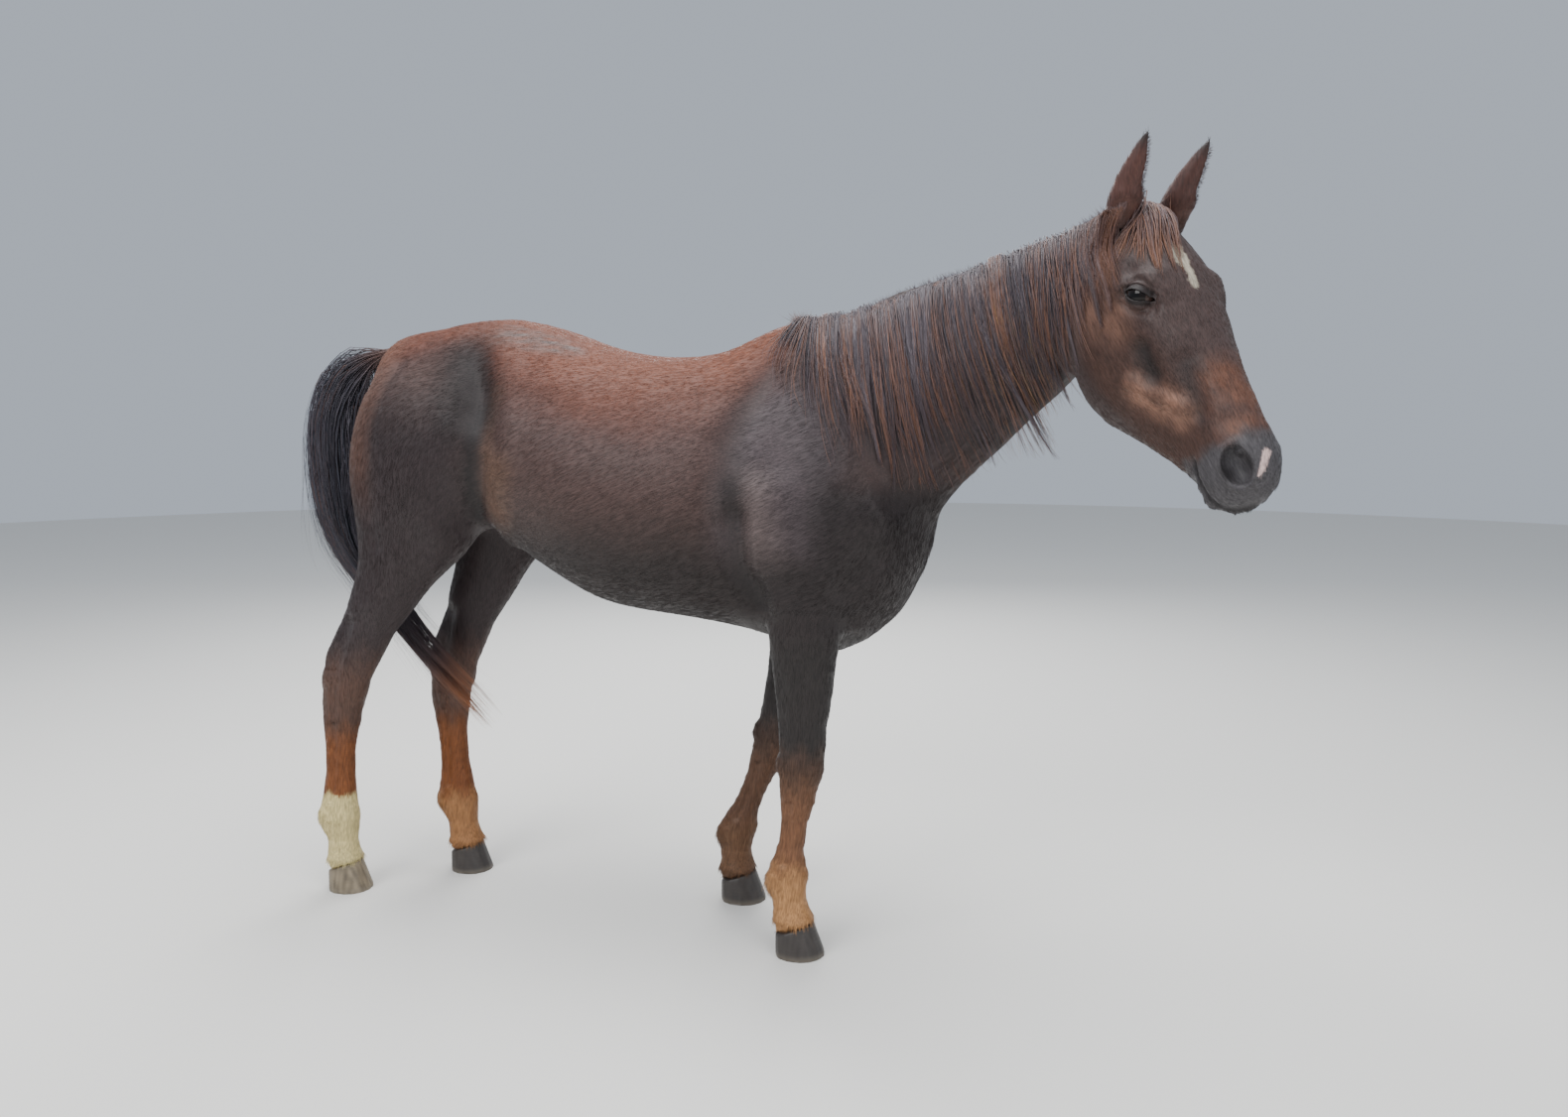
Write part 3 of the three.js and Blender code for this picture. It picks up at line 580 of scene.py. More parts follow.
def set_lids(places, hand):
    """Opens the hide over an eyeball, and lays lids on the ball with a fold above and creases below. Seen on
    the eye, u runs to the front corner and v up."""
    place, out, to_front, up = eye_frame(hand)
    ball = place - out * (EYE_RADIUS - EYE_PROUD)
    u = (places - place) @ to_front
    v = (places - place) @ up
    near = (np.hypot(u, v) < 0.075) & ((places - place) @ out > -0.05)
    u, v = u[near], v[near]
    height = (places[near] - ball) @ out
    around = np.hypot(u, v)
    upper = v > 0
    bow = np.where(upper, LID_TOP, LID_LOW) * (1 - np.abs(np.clip(u / LID_HALF, -1, 1)) ** 2.2)
    corner = TEAR_DUCT * (1 - smooth(u, LID_HALF, LID_HALF + TEAR_DUCT_LONG))
    bow = np.where(u > 0, np.maximum(bow, corner), bow)
    past_corner = np.maximum(np.abs(v), around - LID_HALF)
    from_edge = np.where(np.abs(u) < LID_HALF + 0.008, np.abs(v) - bow, past_corner)
    ball_height = np.sqrt(np.maximum(EYE_RADIUS ** 2 - around ** 2, 0.010 ** 2))
    lid_height = np.sqrt(np.maximum((EYE_RADIUS + LID_DEPTH) ** 2 - around ** 2, 0.012 ** 2))
    for spot, reach, above, under in LID_FOLDS:
        lid_height += np.where(upper, above, under) * band(from_edge - spot, reach)
    away = smooth(from_edge, 0.008, 0.034)
    lid_height = lid_height * (1 - away) + height * away
    on_ball = around < 0.9 * EYE_RADIUS
    lid_height = np.where(on_ball, np.maximum(lid_height, ball_height + 0.0020), lid_height)
    new_height = np.where(from_edge < 0, ball_height - 0.007, lid_height)
    places[near] += (new_height - height)[:, None] * out
    return places


def set_nostril(places, hand):
    """Presses a nostril in, with a raised wing round its outer side and a fold across its top. Seen on the
    nostril, u runs ahead and v up."""
    place = head_point(*NOSTRIL_PLACE, hand)
    out = head_arrow(*NOSTRIL_FACING, hand)
    tall = unit(np.array([0, 0, 1.0]) - out[2] * out)
    ahead = np.cross(tall, out) * hand
    ahead *= np.sign(ahead @ np.array(forward))
    u = (places - place) @ ahead
    v = (places - place) @ tall
    w = (places - place) @ out
    near = (np.hypot(u, v) < 0.07) & (w > -0.03) & (w < 0.04)
    u, v = u[near], v[near]
    bent = u + 0.30 * v - 6 * np.maximum(v, 0) ** 2
    ring = np.sqrt((bent / NOSTRIL_HALF_WIDE) ** 2 + (v / NOSTRIL_HALF_LONG) ** 2)
    pit = np.clip(1 - ring ** 2, 0, 1) ** 0.55
    rim = band(ring - 1.18, 0.34) * (0.55 + 0.45 * smooth(-bent, -0.01, 0.02))
    fold = band(np.hypot(bent - 0.004, v - 0.020), 0.012)
    places[near] += (-NOSTRIL_DEEP * pit + NOSTRIL_RIM * rim + NOSTRIL_FOLD * fold * pit)[:, None] * out
    return places


def near_face(middles):
    return (head_share(middles) > 0.05) & (head_chart(middles)[:, 0] > -0.03)


def near_detail(middles):
    """The faces round the eyes, nostrils and mouth."""
    chart = head_chart(middles)
    lips = (chart[:, 0] > 0.50) & (chart[:, 2] < -0.10) & near_face(middles)
    return (from_eyes(middles) < 0.046) | (from_nostrils(middles) < 0.048) | lips


skin_mesh = melted("skin", [copy_of(name, GROWTH) for name in FLESH], VOXEL)
skin_places = points_of(skin_mesh)
on_legs = legs_share(skin_places)
yielding = EASE * (1 - 0.80 * head_share(skin_places)) * (1 - on_legs)
skin_places = relaxed(skin_places, edges_of(skin_mesh), yielding, BODY_ROUNDS)
set_points(skin_mesh, relaxed(skin_places, edges_of(skin_mesh), EASE * on_legs, LEG_ROUNDS, PUSH_BACK))
finer(skin_mesh, lambda middles: near_face(middles) | (middles[:, 2] < 0.60))
finer(skin_mesh, near_detail)
finer(skin_mesh, lambda middles: np.minimum(from_eyes(middles), from_nostrils(middles)) < 0.035)
skin_places = points_of(skin_mesh)
on_legs = smooth(-skin_places[:, 2], -0.62, -0.56)
yielding = 0.9 * EASE * head_share(skin_places)
skin_places = relaxed(skin_places, edges_of(skin_mesh), yielding, FACE_ROUNDS)
set_points(skin_mesh, relaxed(skin_places, edges_of(skin_mesh), EASE * on_legs, LEG_ROUNDS, PUSH_BACK))
ear_edges = []
for name in ("ear_right", "ear_left"):
    skin_mesh = joined(skin_mesh, ear_form(name))
skin_places = points_of(skin_mesh)
ear_roots = np.zeros(len(skin_places))
for hand in ("right", "left"):
    ear_low, ear_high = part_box(f"ear_{hand}")
    ear_root = np.array([(ear_low.x + ear_high.x) / 2, (ear_low.y + ear_high.y) / 2, ear_low.z + 0.004])
    from_root = np.linalg.norm(skin_places - ear_root, axis=1)
    from_root += np.maximum(skin_places[:, 2] - ear_root[2], 0)
    ear_roots = np.maximum(ear_roots, 1 - smooth(from_root, 0.034, 0.050))
skin_places = relaxed(skin_places, edges_of(skin_mesh), EASE * ear_roots, EAR_ROOT_ROUNDS)
set_points(skin_mesh, skin_places)

normals = points_of(skin_mesh, "normal")
side_chart = skin_places[:, [0, 2]]
rightness = 1 - smooth(skin_places[:, 1] + 0.02 * normals[:, 1], MIDDLE - 0.03, MIDDLE + 0.03)
on_body = 1 - smooth(head_share(skin_places), 0.2, 0.8)
rise = np.zeros(len(skin_places))
for group, strokes in BODY_STROKES.items():
    for line, reach, height in strokes:
        rise += height * band(gap_to(line, side_chart), reach) * rightness * on_body
        shifted = side_chart - (LEFT_SHIFTS[group], 0)
        rise += height * band(gap_to(line, shifted), reach) * (1 - rightness) * on_body
# the groove down the middle of the breast, and the one along the top of the croup
front_chart = skin_places[:, [1, 2]] - (MIDDLE, 0)
breast = smooth(normals[:, 0], 0.3, 0.7) * on_body
rise -= 0.016 * band(gap_to([(0, 1.20), (0, 0.98)], front_chart), 0.040) * breast
top_chart = skin_places[:, [0, 1]] - (0, MIDDLE)
rise -= 0.006 * band(gap_to([(-0.62, 0), (-0.92, 0)], top_chart), 0.045) * smooth(normals[:, 2], 0.3, 0.8)
for leg in LEG_BONES:
    share = leg_share(leg, skin_places)
    turn = leg_turn(leg, skin_places)
    for low, high, angle, reach, height in (FORELEG_STROKES if leg.startswith("fore") else HINDLEG_STROKES):
        radius = 0.031 + 0.05 * max(0, (low + high) / 2 - 0.5)
        round_gap = np.abs((turn - math.radians(angle) + math.pi) % (2 * math.pi) - math.pi) * radius
        up_gap = np.maximum(np.maximum(low - skin_places[:, 2], skin_places[:, 2] - high), 0)
        rise += height * band(np.hypot(round_gap, up_gap), reach) * share
    rise += CORONET_RISE * band(skin_places[:, 2] - CORONET_HEIGHT, 0.012) * share
    before, behind = (np.interp(skin_places[:, 2], LEG_SWELLS[:, 0], LEG_SWELLS[:, i]) for i in (1, 2))
    rise += share * np.where(np.cos(turn) > 0, before, behind)
chart = head_chart(skin_places)
broadside = smooth(np.abs(normals @ np.array(across)), 0.15, 0.5)
for line, reach, height in HEAD_STROKES:
    rise += height * band(gap_to(line, chart[:, [0, 2]]), reach) * (1 - on_body) * broadside
# the hollow between the two halves of the jaw
under = smooth(-(normals @ np.array(lift)), 0.3, 0.8) * (1 - on_body)
rise -= 0.014 * band(gap_to([(0.22, 0), (0.46, 0)], chart[:, :2]), 0.030) * under
coat_depth = TRUNK_COAT + (LEG_COAT - TRUNK_COAT) * legs_share(skin_places)
coat_depth += (HEAD_COAT - TRUNK_COAT) * (1 - on_body)
coat_depth *= 1 - 0.75 * (1 - smooth(skin_places[:, 2], 0.09, 0.12))
coat_depth *= 1 - 0.80 * smooth(skin_places[:, 2], 1.655, 1.690) * (skin_places[:, 0] > EARS_AHEAD)
skin_places += (rise - coat_depth)[:, None] * normals
for hand in (-1, 1):
    skin_places = set_nostril(skin_places, hand)
    skin_places = set_lids(skin_places, hand)
set_points(skin_mesh, skin_places)

# ---- Coat colours: one set of markings for the hide and for every tuft on it. Liver chestnut, dark on the
# flanks and legs, redder along the back, with a dusty patch, a star, a snip and one white sock.
# Painted shade darkens the hollows, creases, nostrils, mouth line and neck, and painted highlights lighten
# the triceps and the facial crest.

TOPLINE = "#68351e"
UPPER_BARREL = "#4c3632"
BARREL = "#473632"
BELLY = "#241c1b"
THIGH = "#2c2223"
SHOULDER = "#463c3e"
# a painted highlight for the light on the triceps behind the shoulder
TRICEPS_HIGHLIGHT = "#5a4d4b"
CHEST = "#241d1d"
# painted shade for the neck under the mane
NECK_MANE_SHADE = "#241d1f"
FACE = "#3c2d2a"
CHEEK = "#402c25"
# lighter cheek brown, also used as a painted highlight on the facial crest
CHEEK_TAN_AND_HIGHLIGHT = "#84604f"
JAW = "#3a2d2b"
MUZZLE = "#434042"
NOSE = "#573729"
# dark bare skin round the eyes, also painted shade in the mouth line and inside the nostrils
DARK_SKIN_AND_SHADE = "#171314"
FORELEG = "#231e1d"
FORELEG_LOW = "#6d4931"
HINDLEG_LOW = "#70401f"
HOCK = "#4c352b"
FETLOCK = "#a5784d"
SOCK = "#c8b781"
FLANK_TAN = "#5c4436"
# painted shade, laid as near black into the hollows and creases of the hide and the face
HOLLOW_SHADE = "#1f1a1a"
BUTTOCK = "#6d4a3a"
DUST = "#5f5451"
STAR = "#a59c8b"
SNIP = "#cbb0aa"
EAR_BACK = "#472c26"
EAR_EDGE = "#1f1818"
# the top of the back, along and up
TOP_LINE = [(-0.95, 1.47), (-0.85, 1.52), (-0.65, 1.55), (-0.55, 1.55), (-0.45, 1.53), (-0.35, 1.49),
            (-0.25, 1.46), (-0.10, 1.45), (0.05, 1.48), (0.15, 1.52), (0.25, 1.53)]
# patches on the body: colour, share, line along and up, reach, how much further forward it lies on the left
BODY_PATCHES = [
    (FLANK_TAN, 0.9, [(-0.50, 1.17), (-0.52, 1.08)], 0.085, LEFT_SHIFTS["hind"]),
    (FLANK_TAN, 0.5, [(-0.51, 1.36), (-0.53, 1.22)], 0.045, LEFT_SHIFTS["hind"]),
    # painted shade in the hollow behind the hip, the flank crease, the girth crease and behind the shoulder
    (HOLLOW_SHADE, 0.92, [(-0.605, 1.43), (-0.575, 1.32)], 0.130, LEFT_SHIFTS["hind"]),
    (HOLLOW_SHADE, 0.95, [(-0.560, 1.30), (-0.575, 1.20), (-0.61, 1.05)], 0.034, LEFT_SHIFTS["hind"]),
    (HOLLOW_SHADE, 0.75, [(0.10, 1.14), (0.115, 0.96), (0.15, 0.88)], 0.048, 0),
    (HOLLOW_SHADE, 0.4, [(0.13, 1.36), (0.085, 1.24), (0.10, 1.10)], 0.055, 0),
]
# colours that set in down the legs: colour, share, the height where it starts and the one where it is full
FORE_WASHES = [(FORELEG, 1, 0.86, 0.72), (FORELEG_LOW, 1, 0.56, 0.34)]
HIND_WASHES = [(THIGH, 1, 0.86, 0.72), (HOCK, 1, 0.74, 0.56), (HINDLEG_LOW, 1, 0.50, 0.40)]
HIND_WASHES += [(FETLOCK, 0.6, 0.26, 0.20)]
LEG_WASHES = {
    "fore_right": FORE_WASHES + [(FETLOCK, 1, 0.26, 0.17)],
    "fore_left": FORE_WASHES + [(FETLOCK, 0.25, 0.26, 0.17), (FORELEG, 0.45, 2.0, 1.0)],
    "hind_right": HIND_WASHES + [(SOCK, 1, 0.278, 0.266)],
    "hind_left": HIND_WASHES,
}
# patches on the face: colour, share, whether it is mottled, line down the face and up from its axis, reach
FACE_PATCHES = [
    # lighter mottled brown on the cheeks, over the facial crest also a painted highlight along its lit ridge
    (CHEEK_TAN_AND_HIGHLIGHT, 0.7, True, [(0.335, -0.152), (0.415, -0.106)], 0.054),
    (CHEEK_TAN_AND_HIGHLIGHT, 0.35, True, [(0.13, -0.155), (0.20, -0.115)], 0.065),
    # painted shade in the cheek hollow and in the groove down the face
    (HOLLOW_SHADE, 0.85, False, CHEEK_HOLLOW, 0.036),
    (HOLLOW_SHADE, 0.5, False, [(0.36, -0.045), (0.45, -0.075)], 0.028),
    (NOSE, 0.8, True, [(0.40, -0.01), (0.49, -0.03)], 0.060),
]
# white marks, down the face and across it to the left: line, reach
STAR_STROKES = [([(0.124, -0.012), (0.152, -0.010)], 0.029),
                ([(0.150, -0.008), (0.185, -0.004), (0.208, -0.008)], 0.016)]
SNIP_LINE = [(0.566, -0.010), (0.594, -0.025)]


def plain(colour, count):
    """One paint at each of many points."""
    return np.tile(np.array(paint(colour)[:3]), (count, 1))


def mixed(colours, colour, share):
    """Each colour moved by its share towards one paint."""
    return colours + np.clip(share, 0, 1)[:, None] * (np.array(paint(colour)[:3]) - colours)


def ragged(places, size, seed=0):
    """A soft random field from -1 to 1 with patches of one size, the same at the same place."""
    total = np.zeros(len(places))
    maker = np.random.default_rng(seed)
    for octave in (1.0, 1.9):
        for _ in range(4):
            way = maker.normal(size=3)
            way *= 2 * math.pi * octave / (size * np.linalg.norm(way))
            total += np.sin(places @ way + maker.uniform(0, 6.28)) / (4 * octave)
    return total


def face_markings(places):
    """The colours of the head without its ears, painted shade and highlights among them."""
    chart = head_chart(places)
    chart_side, chart_front = chart[:, [0, 2]], chart[:, :2]
    face = mixed(plain(CHEEK, len(places)), FACE, smooth(chart[:, 2], -0.10, -0.04))
    face = mixed(face, JAW, smooth(-chart[:, 2], 0.20, 0.26))
    patchy = 1 + 0.6 * ragged(places, 0.05, 14)
    for colour, share, mottled, line, reach in FACE_PATCHES:
        face = mixed(face, colour, share * (patchy if mottled else 1) * band(gap_to(line, chart_side), reach))
    to_lips = chart[:, 0] - 0.22 * (chart[:, 2] + 0.10) + 0.012 * ragged(places, 0.05, 2)
    face = mixed(face, MUZZLE, smooth(to_lips, 0.490, 0.525))
    # painted shade: a dark line in the crease where the lips meet
    face = mixed(face, DARK_SKIN_AND_SHADE, 0.85 * band(gap_to(MOUTH_LINE, chart_side), 0.007))
    star = np.maximum(*(band(gap_to(line, chart_front), reach) for line, reach in STAR_STROKES))
    star = smooth(star + 0.25 * ragged(places, 0.016, 4), 0.30, 0.60)
    face = mixed(face, STAR, star * smooth(chart[:, 2], -0.02, 0.0))
    snip = band(gap_to(SNIP_LINE, chart_front), 0.013 - 0.16 * (chart[:, 0] - SNIP_LINE[0][0]))
    snip *= smooth(np.linalg.norm(places - head_point(*NOSTRIL_PLACE, -1), axis=1), 0.036, 0.041)
    snip = smooth(snip + 0.1 * ragged(places, 0.012, 5), 0.25, 0.6)
    face = mixed(face, SNIP, snip * smooth(chart[:, 2], -0.07, -0.05))
    for hand in (-1, 1):
        eye_place, _, to_front, eye_up = eye_frame(hand)
        above = (places - eye_place) @ eye_up
        rim = np.hypot((places - eye_place) @ to_front / 1.55, np.where(above < 0, 1.3 * above, above))
        rim = np.maximum(rim, np.linalg.norm(places - eye_place, axis=1) / 2)
        face = mixed(face, DARK_SKIN_AND_SHADE, 0.85 * (1 - smooth(rim, 0.016, 0.027)))
    # painted shade: near black inside each nostril
    return mixed(face, DARK_SKIN_AND_SHADE, 0.9 * (1 - smooth(from_nostrils(places), 0.026, 0.036)))


def markings(places):
    """The colour of the hide and its hair at each place."""
    x, z = places[:, 0], places[:, 2] + 0.012 * ragged(places, 0.12)
    side = places[:, [0, 2]]
    left = places[:, 1] > MIDDLE
    head = head_share(places)
    below = np.interp(x, *np.array(TOP_LINE).T) - z
    rear = smooth(-x, 0.50, 0.64)
    front = smooth(x, 0.02, 0.20)
    colours = mixed(plain(BARREL, len(places)), BELLY, smooth(-z, -1.14, -0.94))
    colours = mixed(colours, THIGH, smooth(-x, 0.48, 0.66) * smooth(-z, -1.45, -1.24))
    shoulder = smooth(x, 0.02, 0.14) * (1 - smooth(x, 0.30, 0.40))
    colours = mixed(colours, SHOULDER, shoulder * smooth(-z, -1.46, -1.34) * (1 - smooth(-z, -1.02, -0.94)))
    # painted highlight: a paler band where the triceps bulges and catches the light
    colours = mixed(colours, TRICEPS_HIGHLIGHT, 0.9 * band(gap_to([(0.140, 1.13), (0.165, 0.99)], side), 0.100))
    colours = mixed(colours, CHEST, smooth(x, 0.20, 0.34) * smooth(-z, -1.25, -1.10))
    colours = mixed(colours, CHEST, 0.8 * band(gap_to([(0.19, 0.93), (0.24, 0.86)], side), 0.12))
    brown = 1 - smooth(below, 0.08 - 0.04 * rear, 0.42 - 0.28 * rear - 0.24 * front)
    colours = mixed(colours, UPPER_BARREL, brown)
    red = 1 - smooth(below, 0.01, 0.24 - 0.14 * rear - 0.12 * front)
    colours = mixed(colours, TOPLINE, (1 - 0.3 * rear) * red)
    # painted shade: the neck darkened all round for the shade under the mane
    colours = mixed(colours, NECK_MANE_SHADE, 0.9 * smooth(x, 0.16, 0.46) * smooth(z, 1.15, 1.26) * (1 - head))
    for colour, share, line, reach, shift in BODY_PATCHES:
        shifted = side - np.where(left, shift, 0)[:, None] * (1, 0)
        colours = mixed(colours, colour, share * band(gap_to(line, shifted), reach))
    buttock = band(gap_to([(-0.90, 1.46), (-0.945, 1.28), (-0.93, 1.00)], side), 0.105)
    colours = mixed(colours, BUTTOCK, 0.6 * smooth(z, 1.00, 1.30) * buttock)
    dust = band(gap_to([(-0.53, 0.02), (-0.36, 0.01)], places[:, :2]), 0.06) * smooth(z, 1.44, 1.47)
    colours = mixed(colours, DUST, dust * (0.55 + 0.6 * ragged(places, 0.025, 3)))
    low = places[:, 2] + 0.018 * ragged(places, 0.045, 1)
    for leg, washes in LEG_WASHES.items():
        on_leg = leg_share(leg, places) * (places[:, 2] < FREE_LEG_TOP)
        for colour, share, start, full in washes:
            colours = mixed(colours, colour, share * on_leg * smooth(-low, -start, -full))
    ears = smooth(places[:, 2], EARS_ABOVE, 1.73) * (head_chart(places)[:, 0] < 0.05) * (x > EARS_AHEAD)
    colours += head[:, None] * (face_markings(places) - colours)
    colours = mixed(colours, EAR_BACK, ears)
    colours = mixed(colours, EAR_EDGE, ears * smooth(places[:, 2], 1.785, 1.83))
    uneven = 1 + 0.07 * ragged(places, 0.20, 6) + 0.05 * ragged(places, 0.035, 7)
    return np.clip(colours * uneven[:, None], 0, 1)


# unwrap of the hide: each part rolled out from its own axis into its own rectangle of the unit square
NECK_AXIS = (np.array([0.30, 0.126, 1.25]), np.array([0.93, -0.15, 1.55]))
TRUNK_AXIS_HEIGHT = 1.18
TRUNK, THROAT, HEAD, EARS, FIRST_LEG = range(5)
SHEETS = [(0.01, 0.52, 0.98, 0.47), (0.01, 0.29, 0.38, 0.22), (0.41, 0.29, 0.39, 0.22)]
SHEETS += [(0.82, 0.29, 0.17, 0.22)] + [(0.01 + 0.245 * i, 0.01, 0.235, 0.27) for i in range(4)]
# the way the hair is combed on each sheet: trunk, neck, head, ears and the four legs
COMBINGS = [(-0.90, 0, -0.42), (-0.80, 0.25, -0.65), tuple(along), (0, 0, 1)] + 4 * [(-0.12, 0, -1.0)]


def parts_of(places):
    """Which sheet of the unwrap each place lies on."""
    part = np.full(len(places), TRUNK)
    part[(places[:, 0] > 0.33) & (places[:, 2] > 1.12)] = THROAT
    part[head_share(places) > 0.5] = HEAD
    part[(places[:, 2] > 1.715) & (places[:, 0] > 0.88)] = EARS
    for index, leg in enumerate(LEG_BONES):
        part[leg_share(leg, places) > 0.5] = FIRST_LEG + index
    return part


def rolled_out(places, part):
    """Where each place falls on the unwrap."""
    spots = np.zeros((len(places), 2))
    start, end = NECK_AXIS
    run = (end - start) / np.linalg.norm(end - start)
    broad = unit(np.cross(run, (0, 0, 1)))
    tall = np.cross(broad, run)
    for index in np.unique(part):
        here = places[part == index]
        chart = head_chart(here)
        if index == TRUNK:
            u = (here[:, 0] + 1.05) / 1.65
            v = np.arctan2(here[:, 1] - MIDDLE, here[:, 2] - TRUNK_AXIS_HEIGHT) / (2 * math.pi) + 0.5
        elif index == THROAT:
            u = ((here - start) @ run + 0.15) / 1.05
            v = np.arctan2((here - start) @ broad, (here - start) @ tall) / (2 * math.pi) + 0.5
        elif index == HEAD:
            u = (chart[:, 0] + 0.12) / 0.80
            v = np.arctan2(chart[:, 1], chart[:, 2] + 0.10) / (2 * math.pi) + 0.5
        elif index == EARS:
            u = np.arctan2(chart[:, 0], np.abs(chart[:, 1]) - 0.065) / (4.4 * math.pi) + 0.24
            u += (chart[:, 1] > 0) * 0.5
            v = (here[:, 2] - 1.71) / 0.14
        else:
            u = leg_turn(list(LEG_BONES)[index - FIRST_LEG], here) / (2 * math.pi) + 0.5
            v = here[:, 2] / 0.95
        left, bottom, wide, high = SHEETS[index]
        spots[part == index, 0] = left + np.clip(0.02 + 0.96 * u, 0, 1) * wide
        spots[part == index, 1] = bottom + np.clip(0.02 + 0.96 * v, 0, 1) * high
    return spots


def lie_of_hair(places, normals):
    """The way the hair lies at each place, along the hide: backwards on the body, down the legs and face."""
    x, z = places[:, 0], places[:, 2]
    lie = np.tile((-0.90, 0.0, -0.42), (len(places), 1))
    chest = smooth(x, 0.30, 0.45) * smooth(-z, -1.30, -1.05)
    face = np.array(along) - 0.25 * np.array(lift)
    face = face + 0.15 * np.sign(head_chart(places)[:, 1])[:, None] * np.array(across)
    for share, way in ((smooth(-x, 0.55, 0.80) * smooth(-z, -1.40, -1.10), (-0.25, 0, -1)),
                       (chest, (-0.25, 0, -0.95)),
                       (smooth(x, 0.35, 0.5) * (1 - chest), (-0.80, 0.25, -0.65)),
                       (legs_share(places), (-0.12, 0, -1)),
                       (head_share(places), face)):
        lie = lie * (1 - share[:, None]) + share[:, None] * way
    lie[(z > EARS_ABOVE) & (x > EARS_AHEAD)] = (0.1, 0, 1)
    lie += 0.10 * np.stack([ragged(places, 0.16, seed) for seed in (11, 12, 13)], 1)
    return unit(lie - (lie * normals).sum(1)[:, None] * normals)


def combed_places(places):
    """Each place squeezed along the lie of the hair, so that a fine pattern there is drawn out into hairs."""
    part = parts_of(places)
    lies = np.array(COMBINGS)[part]
    lies[(part == TRUNK) & (places[:, 0] < -0.62) & (places[:, 2] < 1.32)] = COMBINGS[FIRST_LEG]
    lies = unit(lies)
    return places - 0.90 * (places * lies).sum(1)[:, None] * lies


def set_colours(mesh, colours):
    """Keeps a colour at each point of a mesh, for its material to read."""
    layer = mesh.color_attributes.new("hide_colour", "FLOAT_COLOR", "POINT")
    values = np.ones((len(mesh.vertices), 4), np.float32)
    values[:, :3] = colours
    layer.data.foreach_set("color", values.ravel())


def set_combing(mesh, places):
    """Keeps the combed place at each point of a mesh, for the streaks of its material."""
    layer = mesh.attributes.new("lie_place", "FLOAT_VECTOR", "POINT")
    layer.data.foreach_set("vector", combed_places(places).astype(np.float32).ravel())


def set_map(mesh, spots):
    """Writes a UV map named OFBake from one pair of numbers for each corner."""
    layer = mesh.uv_layers.new(name="OFBake")
    layer.data.foreach_set("uv", np.clip(spots, 0.001, 0.999).astype(np.float32).ravel())


def unwrap_skin(mesh):
    """Rolls out the hide face by face, so that no face is torn where a part's roll closes."""
    corners = numbers_of(mesh.loops, "vertex_index", 1, np.int32)[:, 0]
    counts = numbers_of(mesh.polygons, "loop_total", 1, np.int32)[:, 0]
    middles = numbers_of(mesh.polygons, "center", 3).astype(float)
    face_of = np.repeat(np.arange(len(counts)), counts)
    part = parts_of(middles)
    centre_spots = rolled_out(middles, part)[face_of]
    spots = rolled_out(points_of(mesh)[corners], part[face_of])
    away = spots - centre_spots
    torn = np.abs(away) > 0.06
    spots[torn] = centre_spots[torn] + np.clip(away[torn], -0.004, 0.004)
    set_map(mesh, spots)


def tinted(name, roughness):
    """A material in the colour kept at each point of its mesh, and that colour's socket."""
    material, shader = new_material(name, roughness)
    tint = add(material, "ShaderNodeAttribute", {"attribute_name": "hide_colour"}).outputs["Color"]
    join(material, tint, shader, "Base Color")
    return material, shader, tint


# short chestnut hair over skin: matt brown with a soft sheen, and fine streaks along the lie of the coat
coat_paint, coat_shader, coat_tint = tinted("chestnut_coat", 0.52)
coat_place = add(coat_paint, "ShaderNodeAttribute", {"attribute_name": "lie_place"})
# hairs are drawn 3 mm wide and 30 mm long, coarser than life, or they would not show
coat_streaks = add(coat_paint, "ShaderNodeTexNoise", {"Scale": 330, "Detail": 2, "Roughness": 0.5},
                   Vector=coat_place.outputs["Vector"]).outputs["Fac"]
coat_shade = add(coat_paint, "ShaderNodeMapRange",
                 {"From Min": 0.3, "From Max": 0.7, "To Min": 0.70, "To Max": 1.30}, Value=coat_streaks)
coat_mix = add(coat_paint, "ShaderNodeMix", {"data_type": "RGBA", "blend_type": "MULTIPLY", "Factor": 1},
               _6=coat_tint, _7=coat_shade.outputs["Result"])
coat_bump = add(coat_paint, "ShaderNodeBump", {"Strength": 0.60, "Distance": 0.0010}, Height=coat_streaks)
join(coat_paint, coat_mix.outputs[2], coat_shader, "Base Color")
join(coat_paint, coat_bump.outputs["Normal"], coat_shader, "Normal")
coat_shader.inputs["Specular IOR Level"].default_value = 0.30
coat_shader.inputs["Sheen Weight"].default_value = 0.06
coat_shader.inputs["Sheen Roughness"].default_value = 0.45

skin_places = points_of(skin_mesh)
skin_normals = points_of(skin_mesh, "normal")
set_colours(skin_mesh, markings(skin_places))
set_combing(skin_mesh, skin_places)
unwrap_skin(skin_mesh)
skin = show("skin", skin_mesh, coat_paint)
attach(skin, "root")
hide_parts(*FLESH, "ear_right", "ear_left")

# ---- Eyes: two dark glossy balls behind the lids, brown irises with a wide pupil, wet and clear in front.
# Each replaces the CAD's own ball, its iris and pupil painted on by the distance from the ball's axis.

IRIS = "#120a07"
PUPIL = "#060506"
EYE_WHITE = "#3a2a26"
IRIS_RADIUS = 0.0190
PUPIL_HALF = (0.011, 0.0065)

# a wet ball: almost mirror smooth, so that it carries one small bright highlight
eye_gloss, eye_shader, _ = tinted("wet_eye", 0.06)
eye_shader.inputs["IOR"].default_value = 1.36

